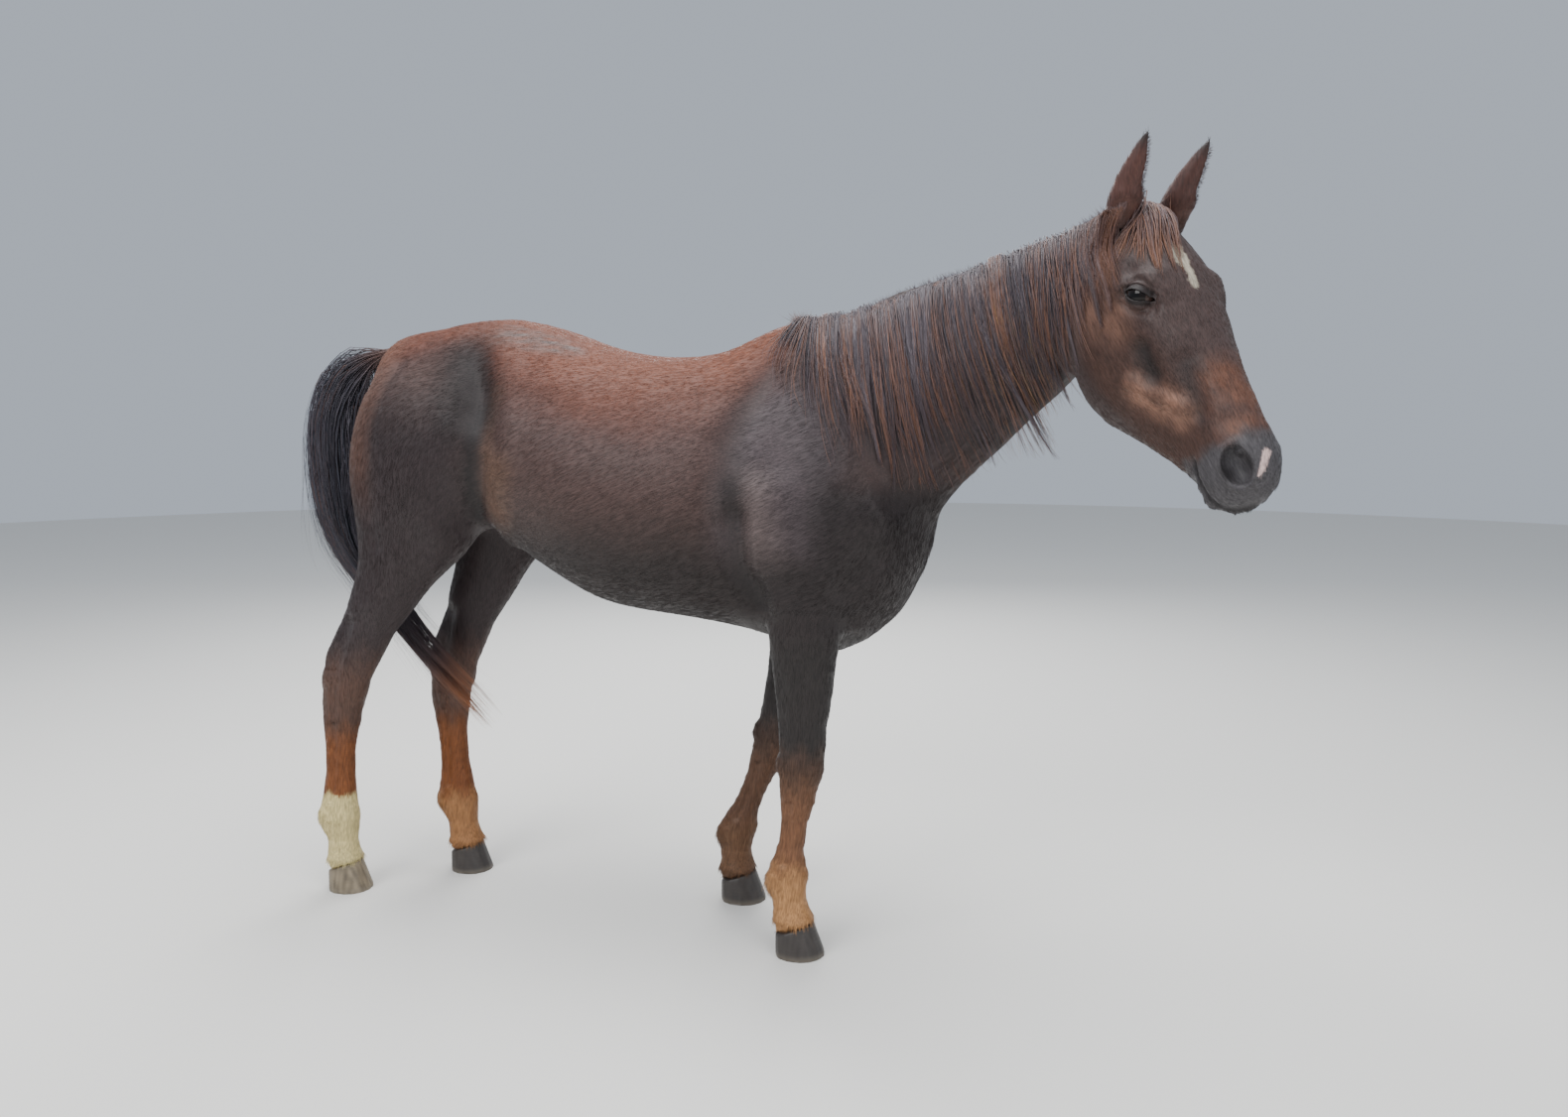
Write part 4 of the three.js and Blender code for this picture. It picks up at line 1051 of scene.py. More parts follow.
for hand, name in SIDES:
    place, out, to_front, up = eye_frame(hand)
    centre = place - out * (EYE_RADIUS - EYE_PROUD)
    form = bmesh.new()
    bmesh.ops.create_uvsphere(form, u_segments=64, v_segments=48, radius=EYE_RADIUS)
    bmesh.ops.translate(form, verts=form.verts, vec=Vector(centre))
    eye_mesh = bpy.data.meshes.new(f"eyeball_{name}")
    form.to_mesh(eye_mesh)
    form.free()
    balls = points_of(eye_mesh) - centre
    u, v = balls @ to_front, balls @ up
    behind = balls @ out < 0
    from_axis = np.hypot(u, v) + 0.05 * behind
    in_iris = 1 - smooth(from_axis, IRIS_RADIUS - 0.001, IRIS_RADIUS + 0.001)
    tints = mixed(plain(EYE_WHITE, len(balls)), IRIS, in_iris)
    in_pupil = np.hypot(u / PUPIL_HALF[0], v / PUPIL_HALF[1]) + 9.0 * behind
    set_colours(eye_mesh, mixed(tints, PUPIL, 1 - smooth(in_pupil, 0.9, 1.15)))
    eyeball = show(f"eyeball_{name}", eye_mesh, eye_gloss)
    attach(eyeball, "root")
    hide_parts(f"eye_{name}")

# ---- Hooves: four capsules of horn, grown down from the coronet in rings, rasped flat where they stand. The
# one under the white sock is pale, the others dark.

HOOF_VOXEL = 0.0035
HOOF_ROUNDS = 4
HOOF_GROUND = 0.004  # everything lower than this is worn down to the floor
RING_STEP = 0.0085
RING_DEPTH = 0.0005
HORN_DARK = "#3c3632"
HORN_PALE = "#8d7f68"
HORN_STREAK = "#26211f"
HORN_WORN = "#8d8373"

# hoof horn: a hard, half-matt, fibrous wall with growth rings and a worn lower edge
horn_paint, horn_shader, _ = tinted("hoof_horn", 0.48)
horn_place = add(horn_paint, "ShaderNodeTexCoord")
horn_fibres = add(horn_paint, "ShaderNodeMapping", {"Scale": (1, 1, 0.12)},
                  Vector=horn_place.outputs["Object"])
horn_noise = add(horn_paint, "ShaderNodeTexNoise", {"Scale": 420, "Detail": 3}, Vector=horn_fibres.outputs[0])
horn_bump = add(horn_paint, "ShaderNodeBump", {"Strength": 0.3, "Distance": 0.0008},
                Height=horn_noise.outputs["Fac"])
join(horn_paint, horn_bump.outputs["Normal"], horn_shader, "Normal")

for leg in LEG_BONES:
    hoof_mesh = melted("hoof", [copy_of(f"hoof_{leg}", 0)], HOOF_VOXEL)
    hoof_places = points_of(hoof_mesh)
    hoof_places = relaxed(hoof_places, edges_of(hoof_mesh), np.full(len(hoof_places), EASE), HOOF_ROUNDS)
    set_points(hoof_mesh, hoof_places)
    hoof_normals = points_of(hoof_mesh, "normal")
    upright = 1 - np.abs(hoof_normals[:, 2])
    rings = np.cos(2 * math.pi * hoof_places[:, 2] / RING_STEP + 1.5 * ragged(hoof_places, 0.05, 8))
    hoof_places += (RING_DEPTH * rings * upright)[:, None] * hoof_normals
    hoof_places[hoof_places[:, 2] < HOOF_GROUND, 2] = 0
    set_points(hoof_mesh, hoof_places)
    horn = plain(HORN_PALE if leg == "hind_right" else HORN_DARK, len(hoof_places))
    horn = mixed(horn, HORN_STREAK, 0.35 + 0.35 * ragged(hoof_places * (1, 1, 0.15), 0.012, 9))
    set_colours(hoof_mesh, mixed(horn, HORN_WORN, 0.35 * smooth(-hoof_places[:, 2], -0.018, 0)))
    hoof = show(f"hoof_horn_{leg}", hoof_mesh, horn_paint)
    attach(hoof, "root")
    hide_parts(f"hoof_{leg}")

# ---- Coat: short summer hair in thin pointed tufts that lie along the hide and overlap like thatch, shorter
# on the face, ears and legs and longest behind the fetlocks. Each tuft is one closed four-faced spike.

COAT_TUFTS = 176000
COAT_PIECES = 4
TUFT_LONG = 0.022
TUFT_WIDE = 0.0020
TUFT_THICK = 0.0009
TUFT_RISE = 0.065  # how steeply a tuft leaves the hide, as height over length
ROOT_SUNK = 0.0008
ROOT_SHADE = 0.90
TIP_SHADE = 1.10
TUFT_SHADING = 0.22
LENGTHS = (0.7, 1.25)
RISES = (0.6, 1.5)
TONES = (0.86, 1.16)
STRAY = 0.07  # how far a tuft's way strays from the lie of the hair
FACE_DENSER, LEG_DENSER = 1.4, 1.2
FACE_SHORTER, LEG_SHORTER, EAR_SHORTER = 0.62, 0.35, 0.35
FEATHER_LONGER, FEATHER_RISE = 1.6, 1.5  # the hair behind the fetlocks and round the coronets
EYE_CLEAR = 0.034  # no tufts within this distance of an eye or a nostril
SPIKE_FACES = np.array([[0, 1, 3], [1, 2, 3], [2, 0, 3], [1, 0, 2]])
SPIKE_PATCH = np.array([[-0.0012, -0.0015], [0.0012, -0.0015], [0.0, -0.0005], [0.0, 0.0015]])


def loop_mesh(name, points, loops, starts, tints, spots):
    """A mesh from its points, the point at each face's corners and each face's first corner, with a colour
    and a place on the unwrap for each point."""
    mesh = bpy.data.meshes.new(name)
    mesh.vertices.add(len(points))
    mesh.vertices.foreach_set("co", points.astype(np.float32).ravel())
    mesh.loops.add(len(loops))
    mesh.loops.foreach_set("vertex_index", loops.astype(np.int32))
    mesh.polygons.add(len(starts))
    mesh.polygons.foreach_set("loop_start", starts.astype(np.int32))
    mesh.update(calc_edges=True)
    set_colours(mesh, np.clip(tints, 0, 1))
    set_map(mesh, spots[loops])
    return mesh


def spikes(name, roots, normals, lies, lengths, widths, thicks, rises, colours, spots):
    """A mesh of closed spikes, one for each root, each lying its own way with its tip off the hide."""
    count = len(roots)
    sides = np.cross(normals, lies)
    tips = roots + lies * lengths[:, None] + normals * (lengths * rises)[:, None]
    base = roots - normals * ROOT_SUNK
    half = sides * widths[:, None] / 2
    points = np.stack([base - half, base + half, base + normals * thicks[:, None], tips], 1).reshape(-1, 3)
    loops = (SPIKE_FACES[None] + 4 * np.arange(count)[:, None, None]).reshape(-1)
    shades = colours[:, None] * np.array([ROOT_SHADE, ROOT_SHADE, ROOT_SHADE, TIP_SHADE])[:, None]
    corners = (spots[:, None] + SPIKE_PATCH).reshape(-1, 2)
    mesh = loop_mesh(name, points, loops, np.arange(0, len(loops), 3), shades.reshape(-1, 3), corners)
    set_combing(mesh, points)
    # short hair takes the light as the hide under it does, so it is shaded by the hide's own slope
    leaning = normals[:, None] + TUFT_SHADING * np.stack([-sides, sides, normals, lies], 1)
    mesh.normals_split_custom_set_from_vertices(unit(leaning).reshape(-1, 3).tolist())
    return mesh


chance = np.random.default_rng(7)
skin_mesh.calc_loop_triangles()
triangles = numbers_of(skin_mesh.loop_triangles, "vertices", 3, np.int32)
corner_a, corner_b, corner_c = (skin_places[triangles[:, i]] for i in range(3))
areas = np.linalg.norm(np.cross(corner_b - corner_a, corner_c - corner_a), axis=1) / 2
middles = (corner_a + corner_b + corner_c) / 3
wanted = areas * (1 + FACE_DENSER * head_share(middles) + LEG_DENSER * (middles[:, 2] < 0.5))
chosen = np.sort(chance.choice(len(triangles), COAT_TUFTS, p=wanted / wanted.sum()))
first, second = chance.random(COAT_TUFTS), chance.random(COAT_TUFTS)
folded = first + second > 1
first[folded], second[folded] = 1 - first[folded], 1 - second[folded]
blend = np.stack([1 - first - second, first, second], 1)[:, :, None]
picked = triangles[chosen]
roots = (blend * skin_places[picked]).sum(1)
root_normals = unit((blend * skin_normals[picked]).sum(1))

part = parts_of(roots)
on_ear = (part == EARS).astype(float)
feathered = 0.4 * band(roots[:, 2] - CORONET_HEIGHT - 0.006, 0.012)
for hand, bones in LEG_BONES.values():
    fetlock = np.array([bones[3][0] - 0.035, MIDDLE + hand * bones[3][1], bones[3][2] - 0.020])
    feathered = np.maximum(feathered, 1 - smooth(np.linalg.norm(roots - fetlock, axis=1), 0.015, 0.045))
size = (1 - FACE_SHORTER * head_share(roots)) * (1 - LEG_SHORTER * legs_share(roots))
size *= 1 - EAR_SHORTER * on_ear
size *= (1 + FEATHER_LONGER * feathered) * chance.uniform(*LENGTHS, COAT_TUFTS)
lies = lie_of_hair(roots, root_normals)
lies += STRAY * chance.normal(size=lies.shape)
lies = unit(lies - (lies * root_normals).sum(1)[:, None] * root_normals)
tuft_colours = markings(roots) * chance.uniform(*TONES, COAT_TUFTS)[:, None]
tuft_spots = rolled_out(roots, part)
rises = TUFT_RISE * chance.uniform(*RISES, COAT_TUFTS) * (1 - 0.5 * on_ear) * (1 + FEATHER_RISE * feathered)
clear = np.nonzero(np.minimum(from_eyes(roots), from_nostrils(roots)) > EYE_CLEAR)[0]
for index in range(COAT_PIECES):
    mine = clear[index::COAT_PIECES]
    piece_mesh = spikes(f"coat_{index + 1}", roots[mine], root_normals[mine], lies[mine],
                        TUFT_LONG * size[mine], TUFT_WIDE * (0.5 + 0.5 * size[mine]),
                        np.full(len(mine), TUFT_THICK), rises[mine], tuft_colours[mine], tuft_spots[mine])
    coat_piece = show(f"coat_{index + 1}", piece_mesh, coat_paint)
    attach(coat_piece, "root")

# ---- Ear fringe: longer dark hairs that stand out from the edges of both ears and close off the cups. Each
# is a closed spike like the coat's, rooted in the rolled edge.

FRINGE_PER_EDGE = 36
FRINGE_LONG = 0.0065
FRINGE_WIDE = 0.0006
FRINGE_THICK = 0.0004
FRINGE_BROAD_SIDE = (0.25, -1.0, 0.1)
FRINGE_SPREAD = (0.0015, 0.0015, 0.005)

edge_places, edge_ways = (np.repeat(np.array(column), FRINGE_PER_EDGE, 0) for column in zip(*ear_edges))
count = len(edge_places)
edge_places = edge_places + chance.normal(size=(count, 3)) * FRINGE_SPREAD
edge_ways = unit(edge_ways + 0.35 * chance.normal(size=(count, 3)))
edge_outs = unit(np.cross(edge_ways, np.cross(FRINGE_BROAD_SIDE, edge_ways)))
edge_colours = mixed(plain(EAR_EDGE, count), EAR_BACK, 0.4 + 0.6 * chance.random(count))
edge_spots = rolled_out(edge_places, np.full(count, EARS))
fringe_mesh = spikes("ear_fringe", edge_places, edge_outs, edge_ways,
                     FRINGE_LONG * chance.uniform(0.4, 1.2, count), np.full(count, FRINGE_WIDE),
                     np.full(count, FRINGE_THICK), np.zeros(count), edge_colours, edge_spots)
fringe = show("ear_fringe", fringe_mesh, coat_paint)
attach(fringe, "root")

# ---- Mane: long coarse hair rooted in the crest, all of it over the right side of the neck. Locks lie on the
# neck and sweep forward as they fall, the ones at the withers spilling over the shoulder.

MANE_LOCKS = 3400
MANE_STRANDS = 3400
MANE_WISPS = 620
MANE_DRIFT = 0.022  # how far each clump wanders along the neck on its way down
CREST_HAIRS = 900
WITHERS_HAIRS = 160
LOCK_STEPS = 10
# a few strands to comb the rest by: along and up, at the crest, a third down, two thirds down and at the tip
MANE_GUIDES = np.array([
    [(0.205, 1.530), (0.162, 1.490), (0.138, 1.442), (0.144, 1.395)],
    [(0.212, 1.535), (0.182, 1.477), (0.172, 1.395), (0.191, 1.327)],
    [(0.222, 1.540), (0.229, 1.464), (0.234, 1.361), (0.256, 1.283)],
    [(0.250, 1.545), (0.273, 1.429), (0.311, 1.283), (0.361, 1.190)],
    [(0.300, 1.555), (0.319, 1.428), (0.363, 1.316), (0.374, 1.217)],
    [(0.350, 1.568), (0.384, 1.428), (0.407, 1.289), (0.439, 1.184)],
    [(0.410, 1.588), (0.442, 1.427), (0.478, 1.261), (0.500, 1.120)],
    [(0.480, 1.600), (0.503, 1.455), (0.543, 1.290), (0.590, 1.150)],
    [(0.555, 1.625), (0.571, 1.479), (0.627, 1.316), (0.680, 1.200)],
    [(0.630, 1.651), (0.661, 1.503), (0.719, 1.344), (0.775, 1.215)],
    [(0.698, 1.672), (0.722, 1.535), (0.758, 1.395), (0.812, 1.300)],
    [(0.780, 1.690), (0.791, 1.570), (0.804, 1.449), (0.822, 1.350)],
    [(0.860, 1.700), (0.858, 1.613), (0.864, 1.540), (0.890, 1.450)],
    [(0.935, 1.712), (0.915, 1.660), (0.915, 1.600), (0.925, 1.540)],
])
MANE_DEEP = 0.020
MANE_DARK = "#38353b"
MANE_BROWN = "#645a60"
MANE_RED = "#86604f"
MANE_POLL = "#674333"
# painted sheen: pale grey for the sky's reflection along the crest
MANE_SHEEN = "#8b8488"
MANE_TIP = "#96674a"
MANE_BLOND = "#b98f55"
MANE_SPAN = (0.203, 0.947)  # where along the row the mane is rooted
MANE_WAVES = 9  # radians of wave in a strand as long as its guide
NECK_TURN = math.radians(46)  # how far the neck's right side turns ahead at the poll
ROOT_SUNK_HAIR = 0.004
CREST_WIDE = 0.0010
CREST_THICK = 0.0007
LOCK_FLAT = 0.45  # a lock's thickness over its width
LOCK_PATCH_LONG = 0.0015
LOCK_PATCH_WIDE = 0.0012


def strands(name, paths, outs, widths, tints, spots):
    """A mesh of closed tapering locks, one along each path, three-sided and flat against what they lie on."""
    count, steps = paths.shape[:2]
    runs = unit(np.gradient(paths, axis=1))
    sides = unit(np.cross(outs, runs))
    tops = np.cross(runs, sides)
    t = np.linspace(0, 1, steps)
    taper = np.clip(0.55 + 1.6 * t, 0, 1) * np.clip(1.02 - t ** 2.2, 0.02, 1)
    half = (widths[:, None] * taper)[..., None] / 2
    rings = np.stack([paths - sides * half, paths + sides * half, paths + tops * half * 2 * LOCK_FLAT], 2)
    per = steps * 3
    quads = [(row + i, row + (i + 1) % 3, row + 3 + (i + 1) % 3, row + 3 + i)
             for row in range(0, per - 3, 3) for i in range(3)]
    one = np.concatenate([np.ravel(quads), (2, 1, 0, per - 3, per - 2, per - 1)])
    loops = (one + per * np.arange(count)[:, None]).ravel()
    one_starts = np.concatenate([np.arange(len(quads)) * 4, len(quads) * 4 + np.arange(2) * 3])
    starts = (one_starts + len(one) * np.arange(count)[:, None]).ravel()
    along_patch = np.repeat(np.linspace(-LOCK_PATCH_LONG, LOCK_PATCH_LONG, steps), 3)
    across_patch = np.tile([-LOCK_PATCH_WIDE, LOCK_PATCH_WIDE, 0.0], steps)
    corners = (spots[:, None] + np.stack([across_patch, along_patch], 1)).reshape(-1, 2)
    tints = np.repeat(tints, 3, axis=1).reshape(-1, 3)
    mesh = loop_mesh(name, rings.reshape(-1, 3), loops, starts, tints, corners)
    mesh.validate()
    return mesh


def curve_through(keys, t):
    """Points at each t from 0 to 1 on a smooth line through evenly spaced keys (locks, keys, numbers)."""
    keys = np.concatenate([2 * keys[:, :1] - keys[:, 1:2], keys, 2 * keys[:, -1:] - keys[:, -2:-1]], 1)
    last = keys.shape[1] - 3
    place = np.clip(t * last, 0, last - 1e-6)
    index = place.astype(int)
    f = (place - index)[None, :, None]
    a, b, c, d = (keys[:, index + i] for i in range(4))
    bend = (2 * a - 5 * b + 4 * c - d) * f ** 2 + (3 * b - a - 3 * c + d) * f ** 3
    return 0.5 * (2 * b + (c - a) * f + bend)


skin_tree = BVHTree.FromPolygons([Vector(p) for p in skin_places], [tuple(t) for t in triangles])

# the crest: the highest point of the hide along the neck, smoothed
crest_x = np.linspace(0.19, 0.95, 60)
crest = []
for x in crest_x:
    near = skin_places[(np.abs(skin_places[:, 0] - x) < 0.008) & (skin_places[:, 2] < 1.735)]
    crest.append(near[near[:, 2].argmax()])
crest_y = np.polynomial.Polynomial.fit(crest_x, np.array(crest)[:, 1], 4)
crest_z = np.polynomial.Polynomial.fit(crest_x, np.array(crest)[:, 2], 5)

# long coarse hair: smoother and glossier than the coat, so that single locks catch the light
hair_paint, hair_shader, _ = tinted("long_horse_hair", 0.42)
hair_shader.inputs["Specular IOR Level"].default_value = 0.35

maker = np.random.default_rng(21)
lock_t = np.linspace(0, 1, LOCK_STEPS)


def combed(x_of):
    """The four keys of a strand rooted at each place along the crest."""
    keys = np.empty((len(x_of), 4, 2))
    for i in range(4):
        for axis in range(2):
            keys[:, i, axis] = np.interp(x_of, MANE_GUIDES[:, 0, 0], MANE_GUIDES[:, i, axis])
    keys[:, 0, 0] = x_of
    return keys


def eased(paths, outs):
    """Strands with their small kinks over the hide's bumps combed out."""
    for _ in range(3):
        outs[:, 1:-1] = (outs[:, :-2] + outs[:, 1:-1] + outs[:, 2:]) / 3
        paths[:, 2:-1] = (paths[:, 1:-2] + 2 * paths[:, 2:-1] + paths[:, 3:]) / 4
    return paths, unit(outs)


def hung(keys, root_x, length, turns, swings, depth):
    """Each strand of the mane laid on the neck from its root down, waving, and the way out at each step."""
    paths = np.empty((len(root_x), LOCK_STEPS, 3))
    outs = np.empty_like(paths)
    for index in range(len(root_x)):
        stretch = curve_through(keys[index:index + 1], lock_t * length[index])[0]
        turn = turns[index] + 0.5 * maker.normal()
        last_y = crest_y(root_x[index])
        for step in range(LOCK_STEPS):
            t = lock_t[step] * length[index]
            x, z = stretch[step]
            x += swings[index] * math.sin(turn + MANE_WAVES * t) * min(2 * t, 1)
            yaw = NECK_TURN * min(max((x - 0.25) / 0.70, 0), 1)
            out = Vector((-math.sin(yaw), -math.cos(yaw), 0))
            if step == 0:
                hit = Vector((x, crest_y(x), crest_z(x) - ROOT_SUNK_HAIR))
                normal = (out * 0.45 + Vector((0, 0, 0.9))).normalized()
            else:
                hit, normal, _, _ = skin_tree.ray_cast(Vector((x, -1.0, z)), Vector((0, 1, 0)))
                if hit is None:
                    hit = Vector((x, last_y + 0.004 * (step > 3), z))
                    normal = out
            last_y = hit.y
            lifted = MANE_DEEP * (1 - 0.65 * min(t, 1)) * depth[index]
            paths[index, step] = hit + normal * (lifted if step else 0.001)
            outs[index, step] = normal
    return eased(paths, outs)


def mane_layer(name, count, clumps, gathering, scatter, lengths, widths, depths, wave, reds):
    """Strands hung from the crest in clumps that wave together: how many of each, how far a strand is drawn
    to its clump and how far off it strays, then pairs from least to most, and the share of red clumps."""
    clump_x = np.sort(maker.uniform(0.205, 0.945, clumps))
    clump_long = maker.uniform(*lengths, clumps)
    clump_turn = maker.uniform(0, 2 * math.pi, clumps)
    clump_swing = maker.uniform(*wave, clumps)
    clump_drift = MANE_DRIFT * maker.normal(size=clumps)
    root_x = maker.uniform(*MANE_SPAN, count)
    clump_of = np.clip(np.searchsorted(clump_x, root_x + 0.008 * maker.normal(size=count)), 0, clumps - 1)
    own = combed(root_x)
    shared = combed(clump_x)[clump_of]
    shared[:, :, 0] += clump_drift[clump_of, None] * np.linspace(0, 1, 4)
    hold = (gathering * smooth(root_x, 0.20, 0.29))[:, None, None] * np.array([0, 0.5, 0.9, 1.0])[:, None]
    keys = own + hold * (shared - own)
    keys[:, 1:, 0] += (scatter * maker.normal(size=count))[:, None] * np.array([0.4, 0.7, 1])
    length = clump_long[clump_of] * maker.uniform(0.62, 1.05, count)
    length *= 0.75 + 0.25 * smooth(root_x, 0.20, 0.25)
    poll_end = smooth(root_x, 0.84, 0.90)
    depth = maker.random(clumps)[clump_of] * 0.75 + 0.25 * maker.random(count)
    depth = (depths[0] + (depths[1] - depths[0]) * depth) * (1 - 0.5 * poll_end)
    paths, outs = hung(keys, root_x, length, clump_turn[clump_of], clump_swing[clump_of], depth)
    tone = 0.5 * maker.random(clumps)[clump_of] + 0.5 * maker.random(count)
    lock_tints = mixed(plain(MANE_DARK, count), MANE_BROWN, tone)
    red = (maker.random(clumps) < reds)[clump_of] * maker.uniform(0.2, 1, count)
    lock_tints = mixed(lock_tints, MANE_RED, red)
    lock_tints = mixed(lock_tints, MANE_POLL, 0.5 * poll_end)
    lock_tints *= maker.uniform(0.70, 1.25, count)[:, None]
    blond = smooth(root_x, 0.50, 0.62) * (1 - smooth(root_x, 0.72, 0.80)) * (maker.random(count) < 0.12)
    # painted sheen: the upper part of the outer locks greyed for the light off the sky along the crest
    crest_sheen = depth * maker.uniform(0.1, 0.9, count) * (1 - poll_end)
    tipped = maker.uniform(0.0, 0.6, count) * (0.25 + 0.75 * red)
    tints = np.empty((count, LOCK_STEPS, 3))
    for step, t in enumerate(lock_t):
        tint = mixed(lock_tints, MANE_SHEEN, (1 - smooth(t, 0.0, 0.35)) * crest_sheen)
        tint = mixed(tint, MANE_TIP, smooth(t, 0.45, 1.0) * tipped)
        tints[:, step] = mixed(tint, MANE_BLOND, 0.8 * smooth(t, 0.6, 1.0) * blond)
    spots = np.stack([(root_x - 0.19) / 0.78, 0.03 + 0.94 * maker.random(count)], 1)
    layer = show(name, strands(name, paths, outs, maker.uniform(*widths, count), tints, spots), hair_paint)
    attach(layer, "root")
    return layer


mane = mane_layer("mane_locks", MANE_LOCKS, 150, 0.97, 0.0015, (0.50, 1.24), (0.0010, 0.0022), (0.35, 1.05),
                  (0.002, 0.009), 0.32)
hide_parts("mane")
mane_layer("mane_under", MANE_STRANDS, 190, 0.55, 0.010, (0.35, 0.78), (0.0011, 0.0026), (0.10, 0.45),
           (0.001, 0.005), 0.05)
mane_layer("mane_wisps", MANE_WISPS, 230, 0.80, 0.012, (0.80, 1.36), (0.0010, 0.0017), (0.90, 1.25),
           (0.004, 0.013), 0.70)

# short hairs stand along the crest, and a tuft of them marks the withers where the mane begins
rise_x = np.concatenate([maker.uniform(0.22, 0.90, CREST_HAIRS), maker.normal(0.198, 0.010, WITHERS_HAIRS)])
at_withers = np.arange(len(rise_x)) >= CREST_HAIRS
count = len(rise_x)
rise_y = crest_y(rise_x) + 0.005 * maker.normal(size=count)
rise_roots = np.stack([rise_x, rise_y, crest_z(rise_x) - ROOT_SUNK_HAIR], 1)
rise_ways = unit(np.stack([-0.5 + 0.4 * maker.normal(size=count), -0.2 + 0.3 * maker.normal(size=count),
                           np.where(at_withers, 0.55, 0.8)], 1))
rise_outs = unit(np.cross(rise_ways, np.cross((0.0, -1.0, 0.2), rise_ways)))
rise_long = np.where(at_withers, maker.uniform(0.015, 0.042, count), maker.uniform(0.006, 0.020, count))
# painted sheen: crest hairs greyed at random for the light off the sky
rise_colours = mixed(plain(MANE_BROWN, count), MANE_SHEEN, 0.6 * maker.random(count))
rise_colours = mixed(rise_colours, MANE_RED, at_withers * maker.uniform(0.4, 1.0, count))
rise_spots = np.stack([np.clip((rise_x - 0.15) / 0.82, 0.01, 0.99), 0.03 + 0.94 * maker.random(count)], 1)
crest_mesh = spikes("mane_crest", rise_roots, rise_outs, rise_ways, rise_long, np.full(count, CREST_WIDE),
                    np.full(count, CREST_THICK), np.zeros(count), rise_colours, rise_spots)
crest_hair = show("mane_crest", crest_mesh, hair_paint)
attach(crest_hair, "root")

# ---- Forelock: a tongue of the same hair from between the ears down the forehead and towards the right eye,
# in clumps that spread like a fan and stand a little off the brow.

FORELOCK_LOCKS = 460
FORELOCK_CLUMPS = 26
FORELOCK_DEEP = 0.020
# keys of the tongue: how far down the face, its middle across the face, half its width, a lock's own scatter
FORELOCK_KEYS = [(0, 0, 0.026, 0.006), (0.055, -0.014, 0.034, 0.007), (0.115, -0.032, 0.040, 0.004),
                 (0.190, -0.048, 0.046, 0.002)]

maker = np.random.default_rng(22)
count = FORELOCK_LOCKS
clump_long = maker.uniform(0.45, 1.1, FORELOCK_CLUMPS)
clump_of = maker.integers(0, FORELOCK_CLUMPS, count)
fan = np.linspace(-1, 1, FORELOCK_CLUMPS)[clump_of]
wisp = maker.normal(size=count)
share = clump_long[clump_of] * maker.uniform(0.85, 1.05, count)
keys = np.zeros((count, 4, 2))
for key, (down, middle, half, scatter) in enumerate(FORELOCK_KEYS):
    keys[:, key] = np.stack([down * share, middle + half * fan + scatter * wisp], 1)
keys[:, 0, 0] = maker.uniform(-0.03, 0.015, count)
keys[:, 3, 0] -= 0.02 * np.abs(fan)
flat = curve_through(keys, lock_t)
depth = maker.random(count)
paths = np.empty((count, LOCK_STEPS, 3))
outs = np.empty_like(paths)
for index in range(count):
    for step in range(LOCK_STEPS):
        down, aside = flat[index, step]
        hit, normal, _, _ = skin_tree.ray_cast(Vector(head_point(down, aside, 0.30, 1)), -lift)
        if hit is None or (Vector(head_point(down, aside, 0, 1)) - hit).length > 0.08:
            hit, normal = Vector(head_point(down, aside, 0.015, 1)), lift
        rise = 0.002 + FORELOCK_DEEP * depth[index] * math.sin(math.pi * min(0.20 + lock_t[step], 1))
        paths[index, step] = hit + normal * (rise if step else 0.001)
        outs[index, step] = normal
paths, outs = eased(paths, outs)
lock_tints = mixed(plain(MANE_BROWN, count), MANE_RED, 0.1 + 0.9 * maker.random(count))
lock_tints *= maker.uniform(0.6, 1.2, count)[:, None]
tipped = maker.uniform(0.1, 0.9, count)
tints = np.stack([mixed(lock_tints, MANE_TIP, smooth(t, 0.4, 1) * tipped) for t in lock_t], 1)
spots = np.stack([0.02 + 0.96 * maker.random(count), 0.02 + 0.96 * maker.random(count)], 1)
forelock_mesh = strands("forelock", paths, outs, maker.uniform(0.0012, 0.0036, count), tints, spots)
forelock = show("forelock_locks", forelock_mesh, hair_paint)
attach(forelock, "root")
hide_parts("forelock")

# ---- Tail: a short dock clothed in long hair, near black with brown sides, hanging behind the thighs and
# swept forward between the hocks, where it thins to a few reddish ends.

TAIL_LOCKS = 2000
TAIL_CLUMPS = 70
TAIL_STEPS = 16
TAIL_LOOSE = 0.20  # the share of hairs that stray from their clump
TAIL_LOOSE_WIDE = 0.0014
TAIL_DOCK_KEYS = 3.4  # hair grows from the first of the middle line's keys to this one
TAIL_WIDTHS = (0.002, 0.0056)
# the tail's middle line and how thick the rope of hair is: along, across from the middle, height, half depth,
# half width
TAIL_LINE = np.array([
    (-0.943, 0.000, 1.478, 0.030, 0.032),
    (-1.026, 0.000, 1.452, 0.054, 0.044),
    (-1.100, 0.000, 1.385, 0.078, 0.058),
    (-1.137, 0.000, 1.270, 0.086, 0.068),
    (-1.131, 0.000, 1.110, 0.090, 0.070),
    (-1.107, 0.000, 0.975, 0.078, 0.058),
    (-1.043, -0.004, 0.862, 0.056, 0.040),
    (-0.948, -0.010, 0.742, 0.044, 0.028),
    (-0.843, -0.016, 0.634, 0.042, 0.026),
    (-0.743, -0.020, 0.545, 0.042, 0.026),
    (-0.665, -0.024, 0.475, 0.040, 0.024),
])
TAIL_DARK = "#2f313a"
TAIL_BROWN = "#4b464d"
TAIL_RED = "#5e4036"
TAIL_TIP = "#a8683a"

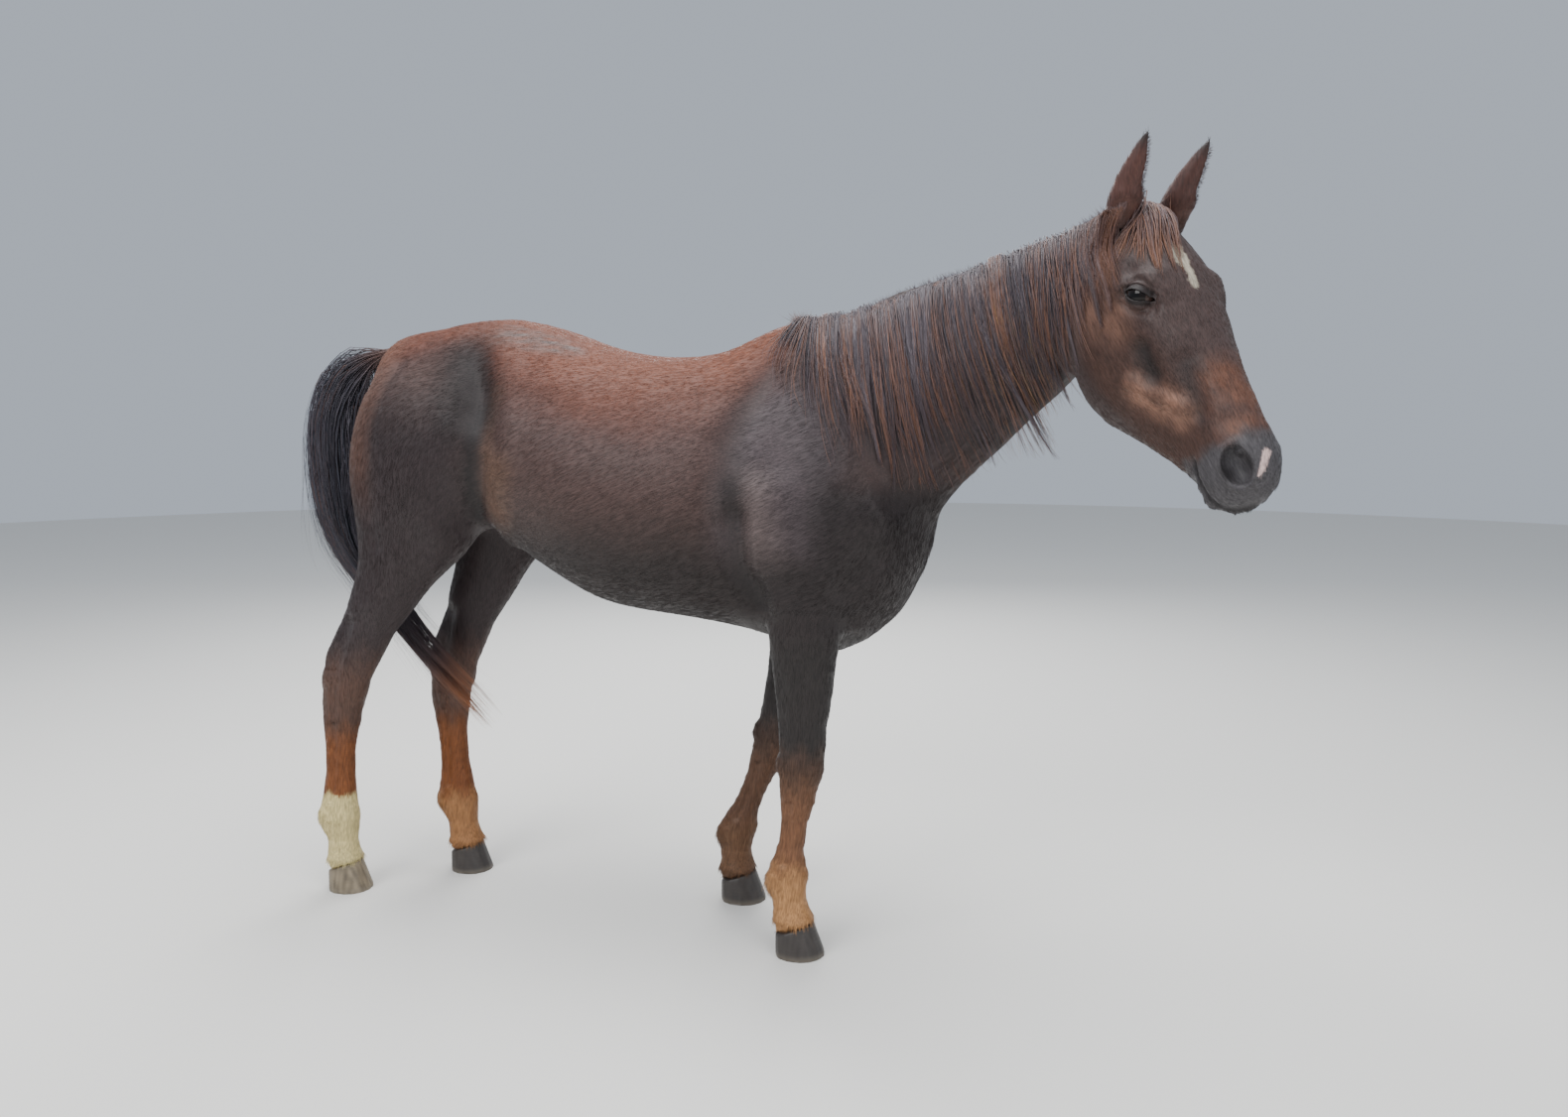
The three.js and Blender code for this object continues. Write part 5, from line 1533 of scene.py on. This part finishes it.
maker = np.random.default_rng(23)
count = TAIL_LOCKS
clump_angle = maker.uniform(0, 2 * math.pi, TAIL_CLUMPS)
clump_depth = np.sqrt(maker.uniform(0.05, 1, TAIL_CLUMPS))
clump_end = 4.6 + 5.4 * maker.random(TAIL_CLUMPS) ** 0.8
clump_of = maker.integers(0, TAIL_CLUMPS, count)
loose = maker.random(count) < TAIL_LOOSE
ring_angle = clump_angle[clump_of] + 0.35 * maker.normal(size=count)
ring_depth = np.clip(clump_depth[clump_of] + 0.10 * maker.normal(size=count), 0.05, 1)
start_key = maker.uniform(0, TAIL_DOCK_KEYS, count)
reach_key = np.maximum(clump_end[clump_of] + maker.uniform(-0.5, 0.3, count), start_key + 3.5)
reach_key = np.minimum(len(TAIL_LINE) - 1, reach_key)
paths = np.empty((count, TAIL_STEPS, 3))
outs = np.empty_like(paths)
tail_t = np.linspace(0, 1, TAIL_STEPS)
broad = np.array([0, 1.0, 0])
for index in range(count):
    key = start_key[index] + (reach_key[index] - start_key[index]) * tail_t
    row = curve_through(TAIL_LINE[None], key / (len(TAIL_LINE) - 1))[0]
    deep = unit(np.cross(unit(np.gradient(row[:, :3], axis=0)), broad))
    grown = np.clip(tail_t * 5, 0.25, 1)
    gather = tail_t ** 1.5 * (0.1 if loose[index] else 0.9)
    clump_turn = clump_angle[clump_of[index]]
    turn = ring_angle[index] * (1 - gather) + clump_turn * gather
    turn = turn + 0.5 * np.sin(3 * tail_t + clump_turn * 3) * tail_t
    way = deep * (np.cos(turn) * row[:, 3] * ring_depth[index] * grown)[:, None]
    way += broad * (np.sin(turn) * row[:, 4] * ring_depth[index] * grown)[:, None]
    if loose[index]:
        way = way * (1.03 + 0.4 * tail_t + 0.7 * tail_t ** 4)[:, None]
    paths[index] = row[:, :3] + way + (0, MIDDLE, 0)
    outs[index] = unit(way)
widths = np.where(loose, TAIL_LOOSE_WIDE, maker.uniform(*TAIL_WIDTHS, count))
widths *= 1 - 0.5 * smooth(reach_key, 7, 9.5)
lock_tints = mixed(plain(TAIL_DARK, count), TAIL_BROWN, maker.random(count))
red = (maker.random(count) < 0.10) * maker.uniform(0.2, 0.8, count)
lock_tints = mixed(lock_tints, TAIL_RED, red * ring_depth)
tints = np.empty((count, TAIL_STEPS, 3))
for step, t in enumerate(tail_t):
    key = start_key + (reach_key - start_key) * t
    tint = mixed(lock_tints, TAIL_RED, 0.7 * smooth(key, 6.6, 8.4) * maker.uniform(0.2, 1, count))
    tint = mixed(tint, TAIL_TIP, smooth(key, 7.8, 9.3) * maker.uniform(0.5, 1, count))
    tints[:, step] = mixed(tint, BUTTOCK, 0.55 * (1 - smooth(key, 0.3, 1.6)))
spots = np.stack([0.02 + 0.96 * ring_angle / (2 * math.pi), 0.02 + 0.96 * maker.random(count)], 1)
tail_mesh = strands("tail", paths, outs, widths, tints, spots)
tail = show("tail_hair", tail_mesh, hair_paint)
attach(tail, "root")
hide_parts("tail_dock", "tail_skirt", "tail_switch")
